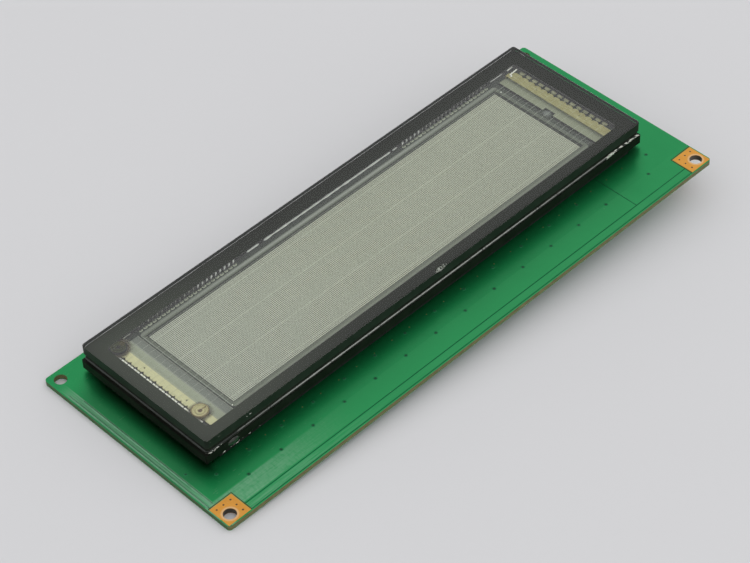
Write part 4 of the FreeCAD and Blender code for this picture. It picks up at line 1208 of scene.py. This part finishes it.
class MakeInner(Piece):
    """Finish what lies inside the tube beside the dots"""

    bl_idname = "display.make_inner"
    bl_label = "Inside of the tube"

    def execute(self, context):
        s = context.scene.display_inner
        films = films_finish(s)
        half_x, half_y = HALF_X - 3.7 * MM, HALF_Y - 3.7 * MM
        layer = plates([rectangle(-half_x, TUBE_Y - half_y, half_x, TUBE_Y + half_y)], BASE_HIGH.z,
                       BASE_HIGH.z + 0.02 * MM)
        dress("insulating_layer", layer, films)
        give(films, "wiring_films")
        give(grid_finish(s), "control_grid")
        support = support_finish(s)
        give(support, "filament_anchor", "filament_spring")
        give(plain("oxide_wire", under_glass(172, 176, 163), 0.6, 0.2, grain=8.0, bump=0.0), "filament_wires")
        self.getters(support)
        self.back_wall()
        self.hooks()
        return {"FINISHED"}

    def getters(self, support):
        """Both ring getters and the mirrors that they left on the glass and the supports."""
        pan = [(0, 0.05), (0.42, 0.06), (0.62, 0.22), (1.15, 0.26), (1.42, 0.08), (1.72, 0.08), (1.9, 0.34),
               (2.2, 0.40), (2.36, 0.25), (2.34, -0.2), (2.0, -0.34), (0, -0.34)]
        fired = ((70, 73, 54), (44, 40, 29), (58, 58, 48), (88, 80, 56))
        fresh = ((176, 169, 128), (118, 104, 74), (92, 76, 50))
        for node, kind, colours, shift, reach, strength in (
                ("getter_back", "fired", fired, 0.2, 4.0, 0.75), ("getter_front", "plain", fresh, 0.0, 3.5, 0.45)):
            low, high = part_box(node)
            centre = (low.y + high.y) / 2 / MM + shift
            mesh = turned(pan, 40)
            mesh.transform(Matrix.Translation((-GETTER_X * MM, centre * MM, PAN_Z * MM)))
            metal = getter_finish(f"getter_{kind}", centre, *(under_glass(*colour) for colour in colours))
            piece = dress(f"{node}_pan", mesh, metal)
            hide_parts(node)
            foot = in_metres(*rectangle(-GETTER_X - 0.3, centre - 0.4, -GETTER_X + 0.3, centre + 0.4))
            stem = plates([foot], ANCHOR_TOP - 0.05 * MM, STEM_TOP_Z * MM)
            dress(f"{node}_stem", stem, support)
            outline = [(max(x, -75.2 * MM), min(y, TUBE_Y + 19.7 * MM))
                       for x, y in circle(-GETTER_X * MM, centre * MM, reach * MM, 40)]
            film = plates([outline], ANCHOR_TOP + 0.12 * MM, ANCHOR_TOP + 0.13 * MM)
            dress(f"{node}_film", film, mirror_finish(f"{node}_mirror", centre, reach, strength))

    def back_wall(self):
        """Paste over the inner lead ends, and the fused line on the back wall with its lumps, in painted light: the
        line and the lumps in the lit stretches are painted bright, the other lumps dim as if shaded.
        """
        paste = plain("lead_paste", (0.56, 0.60, 0.46), 0.55, 0.3, tone=(0.36, 0.39, 0.29), tone_share=0.6,
                      patch=1.0, grain=5.0, bump=0.25, depth=0.03)
        dab = turned([(0, 0.12), (0.38, 0.11), (0.45, 0.04), (0.46, -0.02), (0, -0.02)], 12, (1.45, 1.0, 1.0))
        places = [side * (LEAD_START + LEAD_PITCH * k) for side in (-1, 1) for k in range(LEAD_COUNT)]
        points = [(x * MM, DAB_Y * MM, BASE_HIGH.z + 0.05 * MM) for x in places]
        copies("lead_dabs", dab, points, paste, spread=0.1, seed=19)

        # Painted light: these are lit, shaded and softly lit copies of one fused glass, for the light seen along the
        # back and right walls.
        painted_lit_glass = plain("bright_fused_glass", (0.96, 0.97, 0.94), 0.35, 0.5, tone=(0.62, 0.64, 0.60),
                       tone_share=0.6, patch=0.9, grain=4.0, bump=0.2, depth=0.03)
        painted_shaded_glass = plain("dim_fused_glass", (0.40, 0.42, 0.36), 0.4, 0.4, tone=(0.2, 0.21, 0.17), tone_share=0.6,
                    patch=1.0, grain=4.0, bump=0.2, depth=0.03)
        soft = plain("soft_fused_glass", under_glass(104, 107, 98), 0.4, 0.3, tone=under_glass(80, 82, 74),
                     tone_share=0.6, patch=0.6, bump=0.2, depth=0.03)
        lit, unlit = [], []
        for x in places:
            # Lumps in the stretches where the light falls get the painted lit glass, the rest the painted shaded
            # glass.
            catches_light = -44.0 < x < -30.0 or 31.0 < x < 38.5
            (lit if catches_light else unlit).append((x * MM, WALL_Y * MM, WALL_LUMP_Z * MM))
        for name, points, glass, size, spread, seed in (
                ("wall_glints", lit, painted_lit_glass, 1.45, 0.2, 29), ("wall_lumps", unlit, painted_shaded_glass, 0.8, 0.3, 37)):
            copies(name, splinter(1.7), points, glass, turn=(0.0, -0.75, 0.55), size=size * MM,
                   spread=spread, seed=seed)
        runs = ((-26.6, -22.2, 0.26, painted_lit_glass), (-20.5, 26.6, 0.26, painted_lit_glass), (27.4, 29.2, 0.26, painted_lit_glass),
                (-69.5, -66.8, 0.156, painted_shaded_glass), (66.0, 71.0, 0.143, painted_lit_glass))
        for number, (x0, x1, radius, glass) in enumerate(runs):
            count = max(3, round((x1 - x0) / 0.5))
            line = straight_bead((x0, WALL_Y, WALL_LINE_Z), (x1, WALL_Y, WALL_LINE_Z), count, radius, 41 + number,
                                 0.5)
            dress(f"wall_line_{number}", line, glass)
        # Painted light: the pale line along the right wall stands for a light line seen there.
        line = straight_bead((SIDE_WALL_X, -12.6, SIDE_LINE_Z), (SIDE_WALL_X, 24.64, SIDE_LINE_Z), 49, 0.13, 53, 0.4)
        dress("wall_line_right", line, soft)

    def hooks(self):
        """Folded tips along the left hooks and end tabs at the back right, painted near-white as highlights, and
        weld spots on the grid in the same white.
        """
        # Painted highlight: the near-white colour stands for glints on the bent tips and tabs; the weld spots share
        # it.
        white_highlight = plain("hook_tip", (0.95, 0.95, 0.88), 0.3, 0.5, tone=(0.7, 0.7, 0.62), tone_share=0.4, patch=0.8,
                    grain=5.0, bump=0.2)
        dull = plain("hook_bead", under_glass(140, 140, 120), 0.4, 0.5, tone=under_glass(88, 88, 74),
                     tone_share=0.6, patch=1.0, grain=5.0, bump=0.2)
        wires = [TUBE_MIDDLE + (k - (WIRE_COUNT - 1) / 2) * WIRE_PITCH for k in range(WIRE_COUNT)]
        tips = [in_metres(*rectangle(-75.05, y + low, -74.40, y + high))
                for y in wires for low, high in ((-0.98, -0.12), (0.12, 0.98))]
        dress("hook_tips_left", plates(tips, ANCHOR_TOP - 0.12 * MM, ANCHOR_TOP + 0.10 * MM), white_highlight)
        drop = turned([(0, 0.16), (0.15, 0.13), (0.22, 0.0), (0.15, -0.12), (0, -0.14)], 10)
        points = [(74.75 * MM, (y + side * 0.6) * MM, SPRING_TOP) for y in wires for side in (-1, 1)]
        copies("hook_tips_right", drop, points, dull, spread=0.15, seed=43)
        runs = (((72.4, 25.75), (75.0, 26.0)), ((71.6, 23.95), (75.0, 24.25)), ((71.4, 23.3), (72.0, 23.45)))
        for number, (start, end) in enumerate(runs):
            tab = straight_bead((*start, TAB_Z), (*end, TAB_Z), 8, 0.2, 61 + number, 0.2)
            dress(f"end_tab_{number}", tab, white_highlight)
        spots = [(65.3 * MM, 21.3 * MM, GRID_TOP), (-65.3 * MM, -10.6 * MM, GRID_TOP)]
        copies("grid_welds", drop, spots, white_highlight, size=0.9, seed=47)


class MakeLeads(Piece):
    """Finish the leads of the tube and the leads and pins of the parts"""

    bl_idname = "display.make_leads"
    bl_label = "Leads"

    def execute(self, context):
        s = context.scene.display_parts
        f = Finish("tinned_leads", s.tin, 0.32, tone=shade(s.tin, 0.6), tone_share=0.45, patch=0.8, grain=5.0,
                   metallic=1.0, bump=0.18)
        f.lines((1.5, 9.0, 1.5), 0.3, shade(s.tin, 0.8))
        give(f.close(), "lead_pins_left", "lead_pins_right", "filament_leads", "controller_leads",
             "memory_leads", "logic_leads", "transistor_tabs", "diode_straps", "chip_ends", "inductor_terminals")
        f = Finish("tinned_pins", (0.66, 0.64, 0.58), 0.28, tone=(0.45, 0.43, 0.38), tone_share=0.4, patch=0.6,
                   grain=5.0, metallic=1.0, bump=0.12)
        f.lines((8.0, 8.0, 0.6), 0.35, (0.5, 0.48, 0.42))
        give(f.close(), "header_pins", "power_pins", "transformer_pins")
        return {"FINISHED"}


class MakeParts(Piece):
    """Finish the parts under the board"""

    bl_idname = "display.make_parts"
    bl_label = "Parts under the board"

    def execute(self, context):
        s = context.scene.display_parts
        f = Finish("moulded_epoxy", s.epoxy, 0.58, tone=(0.035, 0.035, 0.036), tone_share=0.5, patch=0.3,
                   grain=7.0, bump=0.35, depth=0.03)
        f.dust(0.8, 0.05, 0.15, (0.09, 0.09, 0.085))
        give(f.close(specular=0.4), "controller_body", "memory_body", "logic_body", "transistor_bodies",
             "diode_bodies")
        f = Finish("moulded_black", s.black, 0.45, tone=(0.03, 0.03, 0.031), tone_share=0.4, patch=0.1,
                   grain=4.0, depth=0.03)
        f.lines((0.5, 0.5, 3.0), 0.3, (0.035, 0.035, 0.036))
        give(f.close(specular=0.45), "header_shell", "capacitor_bases", "transformer_bobbin")
        f = Finish("natural_nylon", s.nylon, 0.42, tone=(0.62, 0.56, 0.42), tone_share=0.4, patch=0.12,
                   bump=0.12, depth=0.03)
        give(f.close(coat=0.1), "power_wafer")
        f = Finish("ground_ferrite", s.ferrite, 0.62, tone=(0.06, 0.06, 0.064), tone_share=0.5, patch=0.4,
                   grain=4.0, bump=0.35, depth=0.05)
        f.lines((0.4, 6.0, 0.4), 0.4, (0.075, 0.075, 0.08))
        give(f.close(specular=0.5), "transformer_core", "inductor_core")
        f = Finish("winding_tape", s.tape, 0.25, tone=(0.42, 0.2, 0.02), tone_share=0.5, patch=0.2, grain=1.5,
                   bump=0.2, depth=0.05)
        f.lines((0.25, 0.25, 2.2), 0.7, (0.5, 0.27, 0.03))
        give(f.close(coat=0.4), "transformer_winding")
        give(plain("resistor_glaze", (0.012, 0.012, 0.013), 0.22, 0.6, tone=(0.03, 0.03, 0.032), tone_share=0.5,
                   patch=0.8, grain=5.0), "chip_resistors")
        give(plain("capacitor_ceramic", (0.36, 0.24, 0.13), 0.42, 0.5, tone=(0.25, 0.16, 0.08), tone_share=0.6,
                   patch=0.8, grain=5.0, bump=0.2), "chip_capacitors")
        self.cans(s)
        self.marks()
        return {"FINISHED"}

    def cans(self, s):
        """Drawn cans: the capacitors' half-black tops with crossed vents, and the crystal's plain one."""
        f = Finish("drawn_can", s.can, 0.26, tone=shade(s.can, 0.8), tone_share=0.3, patch=0.2, metallic=1.0,
                   bump=0.1)
        f.lines((0.6, 0.6, 8.0), 0.5, shade(s.can, 0.72))
        give(f.close(), "crystal_can")
        f = Finish("capacitor_sleeve", s.can, 0.28, tone=shade(s.can, 0.85), tone_share=0.3, patch=0.2,
                   bump=0.08)
        f.lines((0.6, 0.6, 7.0), 0.4, shade(s.can, 0.8))
        x, y, z = f.axes()
        aside, ahead = x - ((x > 44.25) * 10.0 + 39.25), y - 18.5
        top = z.span(2.3, 2.25)
        vent = aside.band(-0.09, 0.09, 0.04).most(ahead.band(-0.09, 0.09, 0.04))
        within = aside * aside + ahead * ahead < 7.3
        f.paint(vent * within * top * 0.6, (0.15, 0.15, 0.15))
        mark = (aside > 1.9) * top
        f.paint(mark, (0.012, 0.012, 0.013))
        f.drive("Metallic", 1.0 - mark)
        give(f.close(), "capacitor_cans")

    def marks(self):
        """Round moulding marks at the first pin of each package."""
        mark = turned([(0, 0.006), (0.42, 0.006), (0.5, 0.0), (0.5, -0.05), (0, -0.05)], 20)
        smooth = plain("moulding_mark", (0.03, 0.03, 0.032), 0.25, 0.6, grain=6.0, bump=0.1)
        points = []
        for node, aside, ahead in (("controller_body", 1.4, 1.4), ("memory_body", 1.3, 1.3),
                                   ("logic_body", 1.1, 1.0)):
            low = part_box(node)[0]
            points.append((low.x + aside * MM, low.y + ahead * MM, low.z))
        copies("moulding_marks", mark, points, smooth, seed=53)


class MakeStage(Piece):
    """Lay the floor, hang the light and set the camera"""

    bl_idname = "display.make_stage"
    bl_label = "Stage"

    def execute(self, context):
        s = context.scene.display_stage
        self.floor(s)
        self.world(context.scene, s)
        self.lamp(s)
        self.camera(context.scene, s)
        context.scene.view_settings.view_transform = "Standard"
        return {"FINISHED"}

    def floor(self, s):
        """A plain floor on which the board's left edge and the header's rim rest."""
        slope = (HEADER_LOW.z - BOARD_LOW.z) / (HEADER_LOW.x - BOARD_LOW.x)
        half = s.floor_size / 2
        corners = [(x, y, BOARD_LOW.z + (x - BOARD_LOW.x) * slope) for x, y in rectangle(-half, -half, half, half)]
        mesh = bpy.data.meshes.new("floor")
        mesh.from_pydata(corners, [], [(0, 1, 2, 3)])
        mesh.materials.append(plain("plain_floor", s.floor, 0.75, 0.2, tone=shade(s.floor, 0.98), tone_share=0.3,
                                    patch=0.01, grain=0.5, bump=0.0))
        piece = bpy.data.objects.new("floor", mesh)
        bpy.context.scene.collection.objects.link(piece)

    def world(self, scene, s):
        """Even soft light, with the plain backdrop for what sees it."""
        scene.world = bpy.data.worlds.new("studio")
        scene.world.use_nodes = True
        n = Nodes(scene.world.node_tree)
        n.tree.nodes.clear()
        soft = n.add("ShaderNodeBackground", {"Color": (1.0, 1.0, 1.0), "Strength": s.light})
        backdrop = n.add("ShaderNodeBackground", {"Color": s.backdrop})
        path = n.add("ShaderNodeLightPath").outputs
        seen = n.math("MAXIMUM", path["Is Camera Ray"], path["Is Glossy Ray"]).most(path["Is Transmission Ray"])
        blend = n.add("ShaderNodeMixShader", {0: seen, 1: soft.outputs[0], 2: backdrop.outputs[0]})
        n.add("ShaderNodeOutputWorld", {"Surface": blend.outputs[0]})

    def lamp(self, s):
        light = bpy.data.lights.new("soft_lamp", "AREA")
        light.shape = "SQUARE"
        light.size = s.lamp_size
        light.energy = s.lamp
        lamp = bpy.data.objects.new("soft_lamp", light)
        bpy.context.scene.collection.objects.link(lamp)
        away = direction(s.lamp_azimuth, s.lamp_elevation)
        lamp.location = away * s.lamp_distance
        lamp.rotation_mode = "QUATERNION"
        lamp.rotation_quaternion = away.to_track_quat("Z", "Y")

    def camera(self, scene, s):
        camera = bpy.data.objects.new("camera", bpy.data.cameras.new("camera"))
        scene.collection.objects.link(camera)
        camera.data.sensor_width = 36.0
        camera.data.lens = s.lens
        camera.data.clip_start, camera.data.clip_end = 0.01, 50.0
        ahead = direction(s.azimuth, s.elevation)
        level = Vector((math.sin(s.azimuth), -math.cos(s.azimuth), 0.0))
        upright = level.cross(ahead)
        right = level * math.cos(s.roll) + upright * math.sin(s.roll)
        up = upright * math.cos(s.roll) - level * math.sin(s.roll)
        turn = Matrix((right, up, -ahead)).transposed().to_4x4()
        camera.matrix_world = Matrix.Translation(Vector(s.camera_place)) @ turn
        scene.camera = camera


def direction(azimuth, elevation):
    return Vector((math.cos(azimuth) * math.cos(elevation), math.sin(azimuth) * math.cos(elevation),
                   math.sin(elevation)))


MAKERS = (MakeBoard, MakeWiring, MakeTube, MakeDots, MakeInner, MakeLeads, MakeParts, MakeStage)


class DisplayPanel(bpy.types.Panel):
    """Lists the makers and their settings"""

    bl_label = "Display module"
    bl_idname = "DISPLAY_PT_module"
    bl_space_type = "VIEW_3D"
    bl_region_type = "UI"
    bl_category = "Display module"

    def draw(self, context):
        for maker in MAKERS:
            self.layout.operator(maker.bl_idname)
        for name, kind in SETTINGS.items():
            box = self.layout.box()
            for setting in kind.__annotations__:
                box.prop(getattr(context.scene, name), setting)


def register():
    for kind in (*SETTINGS.values(), *MAKERS, DisplayPanel):
        bpy.utils.register_class(kind)
    for name, kind in SETTINGS.items():
        setattr(bpy.types.Scene, name, PointerProperty(type=kind))


def unregister():
    for name in SETTINGS:
        delattr(bpy.types.Scene, name)
    for kind in reversed((*SETTINGS.values(), *MAKERS, DisplayPanel)):
        bpy.utils.unregister_class(kind)


def main():
    """Makes every piece in order."""
    register()
    TREES.update(lattice=lattice_tree(), copies=copies_tree(), track=track_tree())
    GROUPS.update(variation=variation_group(), dust=dust_group(), brushed=brushed_group())
    for maker in MAKERS:
        module, name = maker.bl_idname.split(".")
        getattr(getattr(bpy.ops, module), name)()


if __name__ == "__main__":
    main()
